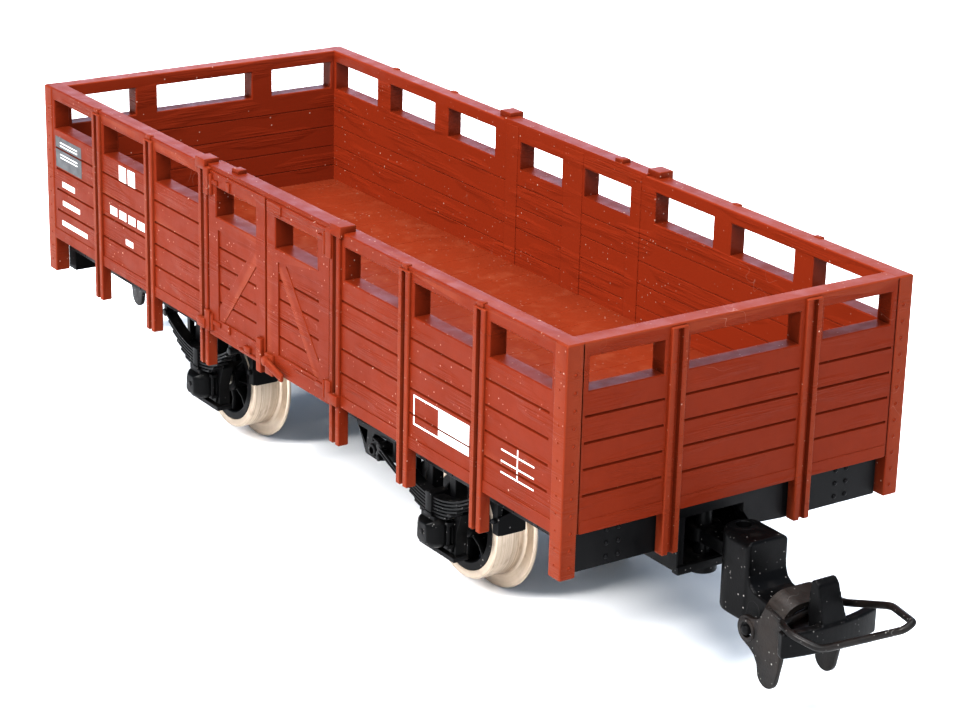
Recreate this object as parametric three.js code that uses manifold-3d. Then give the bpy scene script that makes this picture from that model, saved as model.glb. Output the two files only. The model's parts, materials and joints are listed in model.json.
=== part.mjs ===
// Narrow-gauge two-axle open wagon, 1:87 on 12 mm track, with hook-and-loop couplers.
// Millimetres, +Z up. +X is the wagon's length, the origin is under its middle,
// level with the lowest point of the wheel flanges.

import * as THREE from 'three';
import { mergeVertices } from 'three/addons/utils/BufferGeometryUtils.js';
import Module from 'manifold-3d';

const wasm = await Module();
wasm.setup();

// ---------------------------------------------------------------- driving dimensions

const FIT = 0.05;              // gap left between glued or clipped neighbours
const JOIN = 0.05;             // how far two bodies of one piece run into each other

const BODY_LENGTH = 70;
const BODY_WIDTH = 26.8;
const BODY_TOP = 24.4;
const BODY_BOTTOM = 12.2;
const LEG_BOTTOM = 9.4;
const WALL = 1.3;
const FLOOR_TOP = 13.4;

const WINDOW_BOTTOM = 21.2;
const WINDOW_TOP = 23.45;
const WINDOW_MARGIN = 0.32;    // from a post's side to the window

const POST_X = [9.07, 17.5, 26.0];
const POST_WIDTH = 1.26;
const POST_PROUD = 0.2;
const POST_DEPTH = 0.8;
const POST_TOP = 24.0;
const POST_GROOVE = 0.46;
const POST_GROOVE_DEPTH = 0.35;
const CORNER_LEG = 1.2;
const END_POST_Y = 5.25;

const DOOR_HALF_WIDTH = 8.3;
const DOOR_BOTTOM = 11.95;
const DOOR_TOP = 24.0;
const DOOR_STILE = 1.3;
const DOOR_GAP = 0.25;
const DOOR_PROUD = 0.12;
const DOOR_WINDOW_BOTTOM = 21.0;
const DOOR_WINDOW_TOP = 23.15;
const DOOR_FRAME = 1.15;       // height of the frame below the sunk planks
const DOOR_HEADER = 0.9;       // height of the frame between planks and window
const DOOR_BRACE = 1.3;
const DOOR_ROOT = 0.3;         // how far the doors are let into the wall

const SOLEBAR_Y = 12.3;
const SOLEBAR_BOTTOM = 10.85;
const SOLEBAR_START = 15.6;    // none between the wheels
const TRAY_BOTTOM = 11.2;
const TRAY_TOP = BODY_BOTTOM - FIT;
const BEAM_X = 34.35;
const BEAM_THICKNESS = 1.2;
const BEAM_HALF_WIDTH = 12.1;
const RECESS_HALF_WIDTH = 4.2;
const SOLEBAR_THICKNESS = 0.7;
// Inner end of the end beam beside the coupler, as (y, z).
const TONGUE = [[1.1, TRAY_BOTTOM + JOIN], [1.1, 10.6], [1.85, 9.55], [4.25, 9.4], [4.25, TRAY_BOTTOM + JOIN]];
const CENTRE_SILL_Y = 3.1;
const CENTRE_SILL_END = 28.5;

const AXLE_X = 16.16;
const TREAD_RADIUS = 3.98;
const TREAD_CONE = 0.04;       // the tread is this much larger beside the flange
const FLANGE_RADIUS = 5.09;
const AXLE_Z = FLANGE_RADIUS;
const WHEEL_FACE_Y = 7.69;
const TREAD_END_Y = 5.78;
const FLANGE_CREST_Y = 5.4;
const WHEEL_BACK_Y = 5.1;
const CENTRE_BACK_Y = 5.3;
const TYRE_BORE = 3.4;
const RIM_RADIUS = TYRE_BORE - FIT;
const RIM_INNER = 2.75;
const HUB_RADIUS = 1.15;
const SPOKES = 8;
const SPOKE_WIDTH = 0.42;
const SPOKE_DEPTH = 1.0;
const SPOKE_SET_BACK = 0.35;
const AXLE_RADIUS = 0.65;
const JOURNAL_RADIUS = 0.5;
const JOURNAL_END_Y = 9.75;
const BEARING_RADIUS = 0.6;
const BEARING_END_PLAY = 0.15;
const SHOULDER_Y = 7.84;       // where the axle steps down to its journal
const CHAMFER = 0.1;

const GUARD_Y = 8.65;          // inner face of the axle guard plate
const GUARD_THICKNESS = 0.7;
const GUARD_UPRIGHT_X = 1.5;   // from the axle to the middle of an upright
const GUARD_UPRIGHT_WIDTH = 0.7;
const GUARD_HEAD_HALF = 2.4;   // plate that ties the uprights under the tray
const GUARD_HEAD_HEIGHT = 0.9;
const KEEPER_HALF = 2.2;
const KEEPER_Z = 3.35;
const KEEPER_HEIGHT = 0.3;
const KEEPER_PROUD = 0.5;
const BOX_FRONT_Y = 10.9;
const AXLE_BOX_BOTTOM = 3.9;
const AXLE_BOX_TOP = 6.1;
const SPRING_Y = 10.5;
const SPRING_HALF = 5.3;
const LEAVES = 5;
const LEAF_THICKNESS = 0.26;
const LEAF_STEP = 0.75;        // each leaf is this much shorter at each end than the next
const LEAF_CURVE = 0.066;      // rise of a leaf per square millimetre from its middle
const SPRING_BOTTOM = 6.25;
const BUCKLE_HALF = 0.42;
const BUCKLE_TOP = 7.65;
const SPRING_FRONT_Y = -SPRING_Y + 0.1;
const SPRING_BACK_Y = -SPRING_Y + 1.0;
const HANGER_HALF = 0.3;
const HANGER_BOTTOM = 8.5;

const SHOE_GAP = 0.55;         // brake shoe to wheel tread
const SHOE_THICKNESS = 0.7;
const SHOE_BOTTOM = 6.1;
const HANGER_OUTER_Y = 8.5;
const HANGER_INNER_Y = 8.05;
const SHOE_INNER_Y = 6.3;

const BRAKE_SHAFT_X = 10.3;
const BRAKE_SHAFT_Z = 8.9;
const BRAKE_BRACKET_Y = 10.9;
const BRAKE_BRACKET_THICKNESS = 0.6;
const ROD_THICKNESS = 0.4;

const PIVOT_X = 31.9;          // vertical pivot of the coupler arm
const SHANK_BOTTOM = 8.2;
const SHANK_TOP = 9.2;
const SHANK_HALF = 0.85;
const EYE_RADIUS = 1.15;
const BLOCK_FRONT = 38.3;
const BLOCK_HALF = 1.6;
const BLOCK_REAR_CENTRE = 36.4;
const BLOCK_BOTTOM = 5.0;
const BLOCK_TOP = 10.45;
const TOP_EYE_X = 36.1;        // blind round eye in the top of the block
const TOP_EYE_RADIUS = 0.69;
const EYE_DEPTH = 1.2;
const FOOT_HALF = 1.55;
const PRONG_HALF = 0.8;
const BUMPER_HALF = 3.75;
const BUMPER_X = 44.9;
const BUMPER_BOTTOM = 5.7;
const BUMPER_TOP = 7.35;
const BUMPER_THICKNESS = 0.7;
const BUMPER_SWEEP = 18;       // degrees each side of the middle
const HINGE_X = 39.6;
const HINGE_Z = 5.45;
const CHEEK_Y = 2.5;
const CHEEK_THICKNESS = 0.35;
const STRAP_REAR = 41.0;
const STRAP_FRONT = 42.4;
const PIN_RADIUS = 0.28;
const HINGE_HOLE_RADIUS = 0.36;
const WIRE_RADIUS = 0.17;

// ---------------------------------------------------------------- helpers

function toSolid(geometry) {
  const bare = geometry.clone();
  for (const name of Object.keys(bare.attributes)) {
    if (name !== 'position') bare.deleteAttribute(name);
  }
  const merged = mergeVertices(bare, 1e-4);
  const mesh = new wasm.Mesh({
    numProp: 3,
    vertProperties: Float32Array.from(merged.attributes.position.array),
    triVerts: Uint32Array.from(merged.index.array),
  });
  return new wasm.Manifold(mesh);
}

function toGeometry(solid) {
  const mesh = solid.getMesh();
  const geometry = new THREE.BufferGeometry();
  geometry.setAttribute('position', new THREE.BufferAttribute(mesh.vertProperties, 3));
  geometry.setIndex(new THREE.BufferAttribute(mesh.triVerts, 1));
  return geometry;
}

function join(first, ...others) {
  return others.reduce((sum, other) => sum.add(other), first);
}

function cut(first, ...others) {
  return others.reduce((left, other) => left.subtract(other), first);
}

function box(x0, x1, y0, y1, z0, z1) {
  const geometry = new THREE.BoxGeometry(x1 - x0, y1 - y0, z1 - z0);
  geometry.translate((x0 + x1) / 2, (y0 + y1) / 2, (z0 + z1) / 2);
  return toSolid(geometry);
}

// A cylinder along x, y or z, from one end to the other.
function rod(axis, from, to, radius, a, b, sides = 16) {
  const geometry = new THREE.CylinderGeometry(radius, radius, to - from, sides);
  const middle = (from + to) / 2;
  if (axis === 'x') {
    geometry.rotateZ(Math.PI / 2);
    geometry.translate(middle, a, b);
  } else if (axis === 'y') {
    geometry.translate(a, middle, b);
  } else {
    geometry.rotateX(Math.PI / 2);
    geometry.translate(a, b, middle);
  }
  return toSolid(geometry);
}

// An outline drawn in x and z, made solid between two y values.
function plateXZ(points, y0, y1) {
  const shape = new THREE.Shape(points.map(([x, z]) => new THREE.Vector2(x, z)));
  const geometry = new THREE.ExtrudeGeometry(shape, { depth: y1 - y0, bevelEnabled: false });
  geometry.rotateX(Math.PI / 2);
  geometry.translate(0, y1, 0);
  return toSolid(geometry);
}

// An outline drawn in x and y, made solid between two z values.
function plateXY(points, z0, z1) {
  const shape = new THREE.Shape(points.map(([x, y]) => new THREE.Vector2(x, y)));
  const geometry = new THREE.ExtrudeGeometry(shape, { depth: z1 - z0, bevelEnabled: false });
  geometry.translate(0, 0, z0);
  return toSolid(geometry);
}

// An outline drawn in y and z, made solid between two x values.
function plateYZ(points, x0, x1) {
  const shape = new THREE.Shape(points.map(([y, z]) => new THREE.Vector2(y, z)));
  const geometry = new THREE.ExtrudeGeometry(shape, { depth: x1 - x0, bevelEnabled: false });
  geometry.rotateX(Math.PI / 2);
  geometry.rotateZ(Math.PI / 2);
  geometry.translate(x0, 0, 0);
  return toSolid(geometry);
}

// Points on an arc, from one angle to another in degrees.
function arc(centreA, centreB, radius, from, to, steps) {
  const points = [];
  for (let i = 0; i <= steps; i += 1) {
    const angle = THREE.MathUtils.degToRad(from + ((to - from) * i) / steps);
    points.push([centreA + radius * Math.cos(angle), centreB + radius * Math.sin(angle)]);
  }
  return points;
}

// A body of revolution about the y axis, from a closed outline of (radius, y) points.
function turned(outline, segments, x, z) {
  const closed = [...outline, outline[0]];
  const points = closed.map(([radius, y]) => new THREE.Vector2(radius, y));
  const geometry = new THREE.LatheGeometry(points, segments);
  geometry.translate(x, 0, z);
  return toSolid(geometry);
}

function finish(colour, roughness, metalness) {
  return { color: colour, roughness, metalness };
}

const RED_PLASTIC = finish(0xa8452f, 0.5, 0);
const BLACK_PLASTIC = finish(0x1c1b1c, 0.5, 0);
const NICKEL = finish(0xb8a993, 0.35, 1);
const STEEL = finish(0x8d8a86, 0.4, 1);
const BLACK_METAL = finish(0x352b26, 0.5, 1);

const wagon = new THREE.Group();

function addPiece(name, solid, look, turn = 0) {
  const mesh = new THREE.Mesh(toGeometry(solid), new THREE.MeshStandardMaterial(look));
  mesh.name = name;
  mesh.rotation.z = turn;
  wagon.add(mesh);
}

// The same piece turned half round the vertical for the other end or the other side.
function addBothEnds(base, solid, look) {
  addPiece(`${base}_front`, solid, look);
  addPiece(`${base}_rear`, solid, look, Math.PI);
}

// ---------------------------------------------------------------- wagon body

const HALF_LENGTH = BODY_LENGTH / 2;
const HALF_WIDTH = BODY_WIDTH / 2;
const SIDE_INNER = HALF_WIDTH - WALL;
const POST_FRONT = HALF_WIDTH + POST_PROUD;

// A channel section post on the -Y side, its groove facing out.
function sidePost(x) {
  const left = x - POST_WIDTH / 2;
  const right = x + POST_WIDTH / 2;
  const post = box(left, right, -POST_FRONT, -POST_FRONT + POST_DEPTH, LEG_BOTTOM, POST_TOP);
  const groove = box(
    x - POST_GROOVE / 2, x + POST_GROOVE / 2,
    -POST_FRONT - 1, -POST_FRONT + POST_GROOVE_DEPTH,
    LEG_BOTTOM - 1, WINDOW_TOP,
  );
  return cut(post, groove);
}

function sideWindow(x0, x1, z0 = WINDOW_BOTTOM, z1 = WINDOW_TOP) {
  return box(x0, x1, -POST_FRONT - 1, -SIDE_INNER + 1, z0, z1);
}

// One leaf of the moulded double door: frame, sunk planks and a slanting brace.
function doorLeaf(side) {
  const front = -HALF_WIDTH - DOOR_PROUD;
  const outer = side * DOOR_HALF_WIDTH;
  const inner = (side * DOOR_GAP) / 2;
  const left = Math.min(outer, inner);
  const right = Math.max(outer, inner);
  const back = -HALF_WIDTH + DOOR_ROOT;
  const slab = box(left, right, front, back, DOOR_BOTTOM, DOOR_TOP);
  const sunkBottom = DOOR_BOTTOM + DOOR_FRAME;
  const sunkTop = DOOR_WINDOW_BOTTOM - DOOR_HEADER;
  const sunk = box(left + DOOR_STILE, right - DOOR_STILE, front - 1, -HALF_WIDTH, sunkBottom, sunkTop);
  const foot = side * (DOOR_HALF_WIDTH - DOOR_STILE);
  const head = side * DOOR_STILE;
  const footZ = sunkBottom - JOIN;
  const headZ = sunkTop + JOIN;
  const brace = plateXZ(
    [[foot, footZ], [foot, footZ + DOOR_BRACE], [head, headZ], [head, headZ - DOOR_BRACE]],
    front, back,
  );
  return join(cut(slab, sunk), brace);
}

// The -Y side: planked wall, six windows, eight posts and the doors.
function sideWall() {
  let wall = box(-HALF_LENGTH, HALF_LENGTH, -HALF_WIDTH, -SIDE_INNER, BODY_BOTTOM, BODY_TOP);
  const windows = [];
  const posts = [];
  for (const side of [-1, 1]) {
    wall = join(wall, doorLeaf(side));
    const edges = [...POST_X, HALF_LENGTH - CORNER_LEG + POST_WIDTH / 2];
    for (let i = 0; i < POST_X.length; i += 1) {
      const near = edges[i] + POST_WIDTH / 2 + WINDOW_MARGIN;
      const far = edges[i + 1] - POST_WIDTH / 2 - WINDOW_MARGIN;
      windows.push(sideWindow(Math.min(side * near, side * far), Math.max(side * near, side * far)));
      posts.push(sidePost(side * POST_X[i]));
    }
    const a = side * DOOR_STILE;
    const b = side * (DOOR_HALF_WIDTH - DOOR_STILE - WINDOW_MARGIN);
    windows.push(sideWindow(Math.min(a, b), Math.max(a, b), DOOR_WINDOW_BOTTOM, DOOR_WINDOW_TOP));
    const legOuter = side * HALF_LENGTH;
    const legInner = side * (HALF_LENGTH - CORNER_LEG);
    posts.push(box(
      Math.min(legOuter, legInner), Math.max(legOuter, legInner),
      -HALF_WIDTH, -HALF_WIDTH + CORNER_LEG, LEG_BOTTOM, BODY_BOTTOM + JOIN,
    ));
  }
  return join(cut(wall, ...windows), ...posts);
}

// The +X end: planked wall with three windows and two channel posts.
function endWall() {
  const x0 = HALF_LENGTH - WALL;
  const halfSpan = SIDE_INNER - FIT;
  const wall = box(x0, HALF_LENGTH, -halfSpan, halfSpan, BODY_BOTTOM, BODY_TOP);
  const postInner = END_POST_Y - POST_WIDTH / 2;
  const postOuter = END_POST_Y + POST_WIDTH / 2;
  const bays = [
    [-halfSpan + WINDOW_MARGIN, -postOuter - WINDOW_MARGIN],
    [-postInner + WINDOW_MARGIN, postInner - WINDOW_MARGIN],
    [postOuter + WINDOW_MARGIN, halfSpan - WINDOW_MARGIN],
  ];
  const windows = bays.map(([a, b]) => box(x0 - 1, HALF_LENGTH + 1, a, b, WINDOW_BOTTOM, WINDOW_TOP));
  const front = HALF_LENGTH + POST_PROUD;
  const posts = [-1, 1].map((side) => {
    const y = side * END_POST_Y;
    const post = box(front - POST_DEPTH, front, y - POST_WIDTH / 2, y + POST_WIDTH / 2, LEG_BOTTOM, POST_TOP);
    const groove = box(
      front - POST_GROOVE_DEPTH, front + 1, y - POST_GROOVE / 2, y + POST_GROOVE / 2,
      LEG_BOTTOM - 1, WINDOW_TOP,
    );
    return cut(post, groove);
  });
  return join(cut(wall, ...windows), ...posts);
}

function loadFloor() {
  const halfLength = HALF_LENGTH - WALL - FIT;
  const halfWidth = SIDE_INNER - FIT;
  return box(-halfLength, halfLength, -halfWidth, halfWidth, BODY_BOTTOM, FLOOR_TOP);
}

// ---------------------------------------------------------------- underframe

const WEIGHT_HALF_LENGTH = 9;
const WEIGHT_HALF_WIDTH = 4.6;
const WEIGHT_BOTTOM = 9.9;

// Tray, solebars, end beams with their coupler recess, and centre sills, as one moulding.
function underframe() {
  const trayHalf = BEAM_X - BEAM_THICKNESS + JOIN;
  const pieces = [box(-trayHalf, trayHalf, -SOLEBAR_Y, SOLEBAR_Y, TRAY_BOTTOM, TRAY_TOP)];
  const solebarInner = SOLEBAR_Y - SOLEBAR_THICKNESS;
  for (const side of [-1, 1]) {
    const start = side * SOLEBAR_START;
    const end = side * trayHalf;
    for (const edge of [-1, 1]) {
      const outer = edge * SOLEBAR_Y;
      const inner = edge * solebarInner;
      pieces.push(box(
        Math.min(start, end), Math.max(start, end), Math.min(outer, inner), Math.max(outer, inner),
        SOLEBAR_BOTTOM, TRAY_BOTTOM + JOIN,
      ));
    }
    const beamFace = side * BEAM_X;
    const beamBack = side * (BEAM_X - BEAM_THICKNESS);
    const x0 = Math.min(beamFace, beamBack);
    const x1 = Math.max(beamFace, beamBack);
    pieces.push(box(x0, x1, -BEAM_HALF_WIDTH, -RECESS_HALF_WIDTH, LEG_BOTTOM, TRAY_TOP));
    pieces.push(box(x0, x1, RECESS_HALF_WIDTH, BEAM_HALF_WIDTH, LEG_BOTTOM, TRAY_TOP));
    pieces.push(box(x0, x1, -RECESS_HALF_WIDTH - JOIN, RECESS_HALF_WIDTH + JOIN, TRAY_BOTTOM, TRAY_TOP));
    const tongue = TONGUE.map(([y, z]) => [side * y, z]);
    pieces.push(plateYZ(side > 0 ? tongue : tongue.reverse(), x0, x1));
    const sillStart = side * (WEIGHT_HALF_LENGTH + FIT);
    const sillEnd = side * CENTRE_SILL_END;
    for (const edge of [-1, 1]) {
      const sillOuter = edge * CENTRE_SILL_Y;
      const sillInner = edge * (CENTRE_SILL_Y - SOLEBAR_THICKNESS);
      pieces.push(box(
        Math.min(sillStart, sillEnd), Math.max(sillStart, sillEnd),
        Math.min(sillOuter, sillInner), Math.max(sillOuter, sillInner),
        SOLEBAR_BOTTOM, TRAY_BOTTOM + JOIN,
      ));
    }
  }
  return join(...pieces);
}

function ballastWeight() {
  return box(
    -WEIGHT_HALF_LENGTH, WEIGHT_HALF_LENGTH, -WEIGHT_HALF_WIDTH, WEIGHT_HALF_WIDTH,
    WEIGHT_BOTTOM, TRAY_BOTTOM - FIT,
  );
}

// One leaf of a spring: a shallow arc whose ends turn up.
function springLeaf(halfLength, z) {
  const steps = 6;
  const rise = (x) => LEAF_CURVE * x * x;
  const lower = [];
  const upper = [];
  for (let i = 0; i <= steps; i += 1) {
    const x = -halfLength + (2 * halfLength * i) / steps;
    lower.push([AXLE_X + x, z + rise(x)]);
    upper.unshift([AXLE_X + x, z + LEAF_THICKNESS + rise(x)]);
  }
  return plateXZ([...lower, ...upper], SPRING_FRONT_Y, SPRING_BACK_Y);
}

// Axle guard plate, axle box, leaf spring and its hangers, for the wheel at +X, -Y.
function axleGuard() {
  const plateFront = -GUARD_Y - GUARD_THICKNESS;
  const plateBack = -GUARD_Y;
  const top = TRAY_BOTTOM - FIT;
  const pieces = [];
  for (const side of [-1, 1]) {
    const x = AXLE_X + side * GUARD_UPRIGHT_X;
    const half = GUARD_UPRIGHT_WIDTH / 2;
    pieces.push(box(x - half, x + half, plateFront, plateBack, KEEPER_Z, top));
  }
  pieces.push(box(
    AXLE_X - GUARD_HEAD_HALF, AXLE_X + GUARD_HEAD_HALF, plateFront, plateBack, top - GUARD_HEAD_HEIGHT, top,
  ));
  pieces.push(box(
    AXLE_X - KEEPER_HALF, AXLE_X + KEEPER_HALF, plateFront - KEEPER_PROUD, plateBack,
    KEEPER_Z - KEEPER_HEIGHT, KEEPER_Z + FIT * 3,
  ));
  const boxOutline = [
    [AXLE_X - 1.55, AXLE_BOX_BOTTOM],
    [AXLE_X + 1.55, AXLE_BOX_BOTTOM],
    [AXLE_X + 1.7, AXLE_BOX_BOTTOM + 0.7],
    [AXLE_X + 1.2, AXLE_BOX_TOP],
    [AXLE_X - 1.2, AXLE_BOX_TOP],
    [AXLE_X - 1.7, AXLE_BOX_BOTTOM + 0.7],
  ];
  pieces.push(plateXZ(boxOutline, -BOX_FRONT_Y, plateBack));
  for (let i = 0; i < LEAVES; i += 1) {
    const halfLength = SPRING_HALF - (LEAVES - 1 - i) * LEAF_STEP;
    pieces.push(springLeaf(halfLength, SPRING_BOTTOM + i * (LEAF_THICKNESS - JOIN / 2)));
  }
  pieces.push(box(
    AXLE_X - BUCKLE_HALF, AXLE_X + BUCKLE_HALF, -SPRING_Y, plateBack - FIT * 4,
    AXLE_BOX_TOP - JOIN, BUCKLE_TOP,
  ));
  for (const side of [-1, 1]) {
    const x = AXLE_X + side * (SPRING_HALF - HANGER_HALF);
    pieces.push(box(x - HANGER_HALF, x + HANGER_HALF, SPRING_FRONT_Y, SPRING_BACK_Y, HANGER_BOTTOM, top));
  }
  const bearingEnd = -JOURNAL_END_Y - BEARING_END_PLAY;
  const bearing = rod('y', bearingEnd, plateBack + 1, BEARING_RADIUS, AXLE_X, AXLE_Z, 20);
  return cut(join(...pieces), bearing);
}

// Brake shoe and its hanger; side is +1 beyond the axle and -1 on its inner side.
function brakeShoe(side) {
  const near = AXLE_X + side * (TREAD_RADIUS + SHOE_GAP);
  const far = near + side * SHOE_THICKNESS;
  const top = TRAY_BOTTOM - FIT;
  const outline = [
    [-HANGER_OUTER_Y, SHOE_BOTTOM],
    [-SHOE_INNER_Y, SHOE_BOTTOM],
    [-SHOE_INNER_Y, SHOE_BOTTOM + 0.5],
    [-7.2, SHOE_BOTTOM + 1.4],
    [-HANGER_INNER_Y, SHOE_BOTTOM + 0.9],
    [-HANGER_INNER_Y, top],
    [-HANGER_OUTER_Y, top],
  ];
  return plateYZ(outline, Math.min(near, far), Math.max(near, far));
}

// Bracket, crank and pull rod of the brake shaft under the solebar, -Y side.
function brakeLinkage() {
  const front = -BRAKE_BRACKET_Y - BRAKE_BRACKET_THICKNESS / 2;
  const back = -BRAKE_BRACKET_Y + BRAKE_BRACKET_THICKNESS / 2;
  const top = TRAY_BOTTOM - FIT;
  const x = BRAKE_SHAFT_X;
  const z = BRAKE_SHAFT_Z;
  const bracket = plateXZ(
    [
      [x - 2.7, top],
      [x - 1.0, z - 0.55],
      [x + 0.6, z - 0.6],
      [x + 1.7, z - 0.2],
      [x + 2.7, z],
      [x + 2.7, top],
    ],
    front, back,
  );
  const leftOpening = plateXZ(
    [[x - 1.95, z + 1.15], [x - 0.85, z + 0.2], [x - 0.8, z + 1.15]],
    front - 1, back + 1,
  );
  const rightOpening = plateXZ(
    [[x + 0.3, z + 1.15], [x + 0.5, z + 0.6], [x + 2.3, z + 0.4], [x + 2.3, z + 1.15]],
    front - 1, back + 1,
  );
  const shaftHole = rod('y', front - 1, back + 1, 0.3, x, z, 12);
  const rodFront = front - ROD_THICKNESS;
  const rodBack = front + JOIN;
  const crank = plateXZ(
    [[x + 0.7, z], [x + 1.2, z - 0.3], [x + 2.1, z + 1.3], [x + 1.6, z + 1.6]],
    rodFront, rodBack,
  );
  const pull = plateXZ(
    [[x + 0.9, z], [x + 1.3, z + 0.2], [x + 3.3, z - 0.9], [x + 3.0, z - 1.2]],
    rodFront, rodBack,
  );
  return join(cut(bracket, leftOpening, rightOpening, shaftHole), crank, pull);
}

// ---------------------------------------------------------------- wheelsets

// Metal tyre on the -Y side, with tread, fillet and flange.
function tyre() {
  const outline = [
    [TYRE_BORE, -WHEEL_FACE_Y],
    [TREAD_RADIUS - CHAMFER, -WHEEL_FACE_Y],
    [TREAD_RADIUS, -WHEEL_FACE_Y + CHAMFER],
    [TREAD_RADIUS + TREAD_CONE, -TREAD_END_Y],
    [FLANGE_RADIUS - CHAMFER, -FLANGE_CREST_Y - CHAMFER / 2],
    [FLANGE_RADIUS, -FLANGE_CREST_Y + CHAMFER],
    [FLANGE_RADIUS - CHAMFER, -WHEEL_BACK_Y],
    [TYRE_BORE, -WHEEL_BACK_Y],
  ];
  return turned(outline, 40, AXLE_X, AXLE_Z);
}

// Spoked plastic wheel centre pressed into the tyre.
function wheelCentre() {
  const face = -WHEEL_FACE_Y;
  const back = -CENTRE_BACK_Y;
  const rim = turned(
    [[RIM_INNER, face], [RIM_RADIUS, face], [RIM_RADIUS, back], [RIM_INNER, back]],
    32, AXLE_X, AXLE_Z,
  );
  const hub = rod('y', face, back, HUB_RADIUS, AXLE_X, AXLE_Z, 16);
  const spokes = [];
  for (let i = 0; i < SPOKES; i += 1) {
    const spoke = new THREE.BoxGeometry(SPOKE_WIDTH, SPOKE_DEPTH, RIM_INNER - HUB_RADIUS + JOIN * 6);
    spoke.translate(0, face + SPOKE_SET_BACK + SPOKE_DEPTH / 2, (RIM_INNER + HUB_RADIUS) / 2);
    spoke.rotateY((i * 2 * Math.PI) / SPOKES);
    spoke.translate(AXLE_X, 0, AXLE_Z);
    spokes.push(toSolid(spoke));
  }
  const bore = rod('y', face - 1, back + 1, AXLE_RADIUS + FIT, AXLE_X, AXLE_Z, 16);
  return cut(join(rim, hub, ...spokes), bore);
}

function axle() {
  const tip = JOURNAL_END_Y;
  const half = [
    [AXLE_RADIUS, SHOULDER_Y],
    [JOURNAL_RADIUS, SHOULDER_Y],
    [JOURNAL_RADIUS, tip - 2 * CHAMFER],
    [JOURNAL_RADIUS - CHAMFER, tip],
    [0, tip],
  ];
  const otherHalf = half.map(([radius, y]) => [radius, -y]).reverse();
  const outline = [...otherHalf, ...half].map(([radius, y]) => new THREE.Vector2(radius, y));
  const geometry = new THREE.LatheGeometry(outline, 16);
  geometry.translate(AXLE_X, 0, AXLE_Z);
  return toSolid(geometry);
}

// ---------------------------------------------------------------- couplers

const BOX_FRONT_X = 33.0;
const BOX_BACK_X = 28.6;
const BOX_HALF_WIDTH = 2.9;
const BOX_BOTTOM = 6.7;
const BOX_WALL = 0.5;
const BOSS_BOTTOM = 6.0;
const BOSS_RADIUS = 1.0;
const SCREW_RADIUS = 0.55;
const SCREW_SLOT = 0.18;
const BOX_ROOF = TRAY_BOTTOM - FIT;

// Open-fronted box under the floor that holds the coupler arm, with a boss below.
function couplerBox() {
  const shell = box(BOX_BACK_X, BOX_FRONT_X, -BOX_HALF_WIDTH, BOX_HALF_WIDTH, BOX_BOTTOM, BOX_ROOF);
  const hollow = box(
    BOX_BACK_X + BOX_WALL, BOX_FRONT_X + 1, -BOX_HALF_WIDTH + BOX_WALL, BOX_HALF_WIDTH - BOX_WALL,
    BOX_BOTTOM + BOX_WALL, BOX_ROOF + 1,
  );
  const boss = rod('z', BOSS_BOTTOM, BOX_BOTTOM + JOIN, BOSS_RADIUS, PIVOT_X, 0, 24);
  const screwHole = rod('z', BOSS_BOTTOM - 1, SHANK_BOTTOM, SCREW_RADIUS + FIT, PIVOT_X, 0, 20);
  return cut(join(cut(shell, hollow), boss), screwHole);
}

// Pivot screw of the arm: from the boss up to the underside of the tray.
function pivotScrew() {
  const end = BOSS_BOTTOM + CHAMFER;
  const shank = rod('z', end, BOX_ROOF, SCREW_RADIUS, PIVOT_X, 0, 20);
  const slot = box(PIVOT_X - 1, PIVOT_X + 1, -SCREW_SLOT / 2, SCREW_SLOT / 2, end - 1, end + SCREW_SLOT);
  return cut(shank, slot);
}

// Plan of the upright block: flat in front, round at the rear.
function blockPlan(half) {
  const rear = arc(BLOCK_REAR_CENTRE, 0, half, 90, 270, 12);
  return [[BLOCK_FRONT, -half], [BLOCK_FRONT, half], ...rear];
}

// Plastic coupler arm: shank, upright block, foot, curved bumper and prong.
function couplerArm() {
  const eye = rod('z', SHANK_BOTTOM, SHANK_TOP, EYE_RADIUS, PIVOT_X, 0, 24);
  const shank = box(PIVOT_X, BLOCK_REAR_CENTRE, -SHANK_HALF, SHANK_HALF, SHANK_BOTTOM, SHANK_TOP);
  const block = plateXY(blockPlan(BLOCK_HALF), BLOCK_BOTTOM, BLOCK_TOP);
  const foot = plateXZ(
    [
      [BLOCK_REAR_CENTRE, BLOCK_BOTTOM],
      [BLOCK_FRONT, BLOCK_BOTTOM - 0.4],
      [43.6, 5.2],
      [44.6, 5.75],
      [44.6, 6.9],
      [41.0, 6.7],
      [39.3, 7.2],
      [BLOCK_FRONT, 8.3],
      [BLOCK_REAR_CENTRE, 8.3],
    ],
    -FOOT_HALF, FOOT_HALF,
  );
  const sweep = BUMPER_SWEEP;
  const radius = BUMPER_HALF / Math.sin(THREE.MathUtils.degToRad(sweep));
  const centre = BUMPER_X - radius;
  const bumper = plateXY(
    [
      ...arc(centre, 0, radius, -sweep, sweep, 10),
      ...arc(centre, 0, radius - BUMPER_THICKNESS, sweep, -sweep, 10),
    ],
    BUMPER_BOTTOM, BUMPER_TOP,
  );
  const prong = plateXZ(
    [[43.5, 6.0], [44.75, 6.0], [44.6, 8.4], [44.1, 10.0], [43.6, 10.1], [43.3, 8.6]],
    -PRONG_HALF, PRONG_HALF,
  );
  const pivotHole = rod('z', SHANK_BOTTOM - 1, SHANK_TOP + 1, SCREW_RADIUS + 2 * FIT, PIVOT_X, 0, 24);
  const topHole = rod('z', BLOCK_TOP - EYE_DEPTH, BLOCK_TOP + 1, TOP_EYE_RADIUS, TOP_EYE_X, 0, 20);
  const hingeHole = rod('y', -CHEEK_Y * 2, CHEEK_Y * 2, HINGE_HOLE_RADIUS, HINGE_X, HINGE_Z, 16);
  return cut(join(eye, shank, block, foot, bumper, prong), pivotHole, topHole, hingeHole);
}

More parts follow.
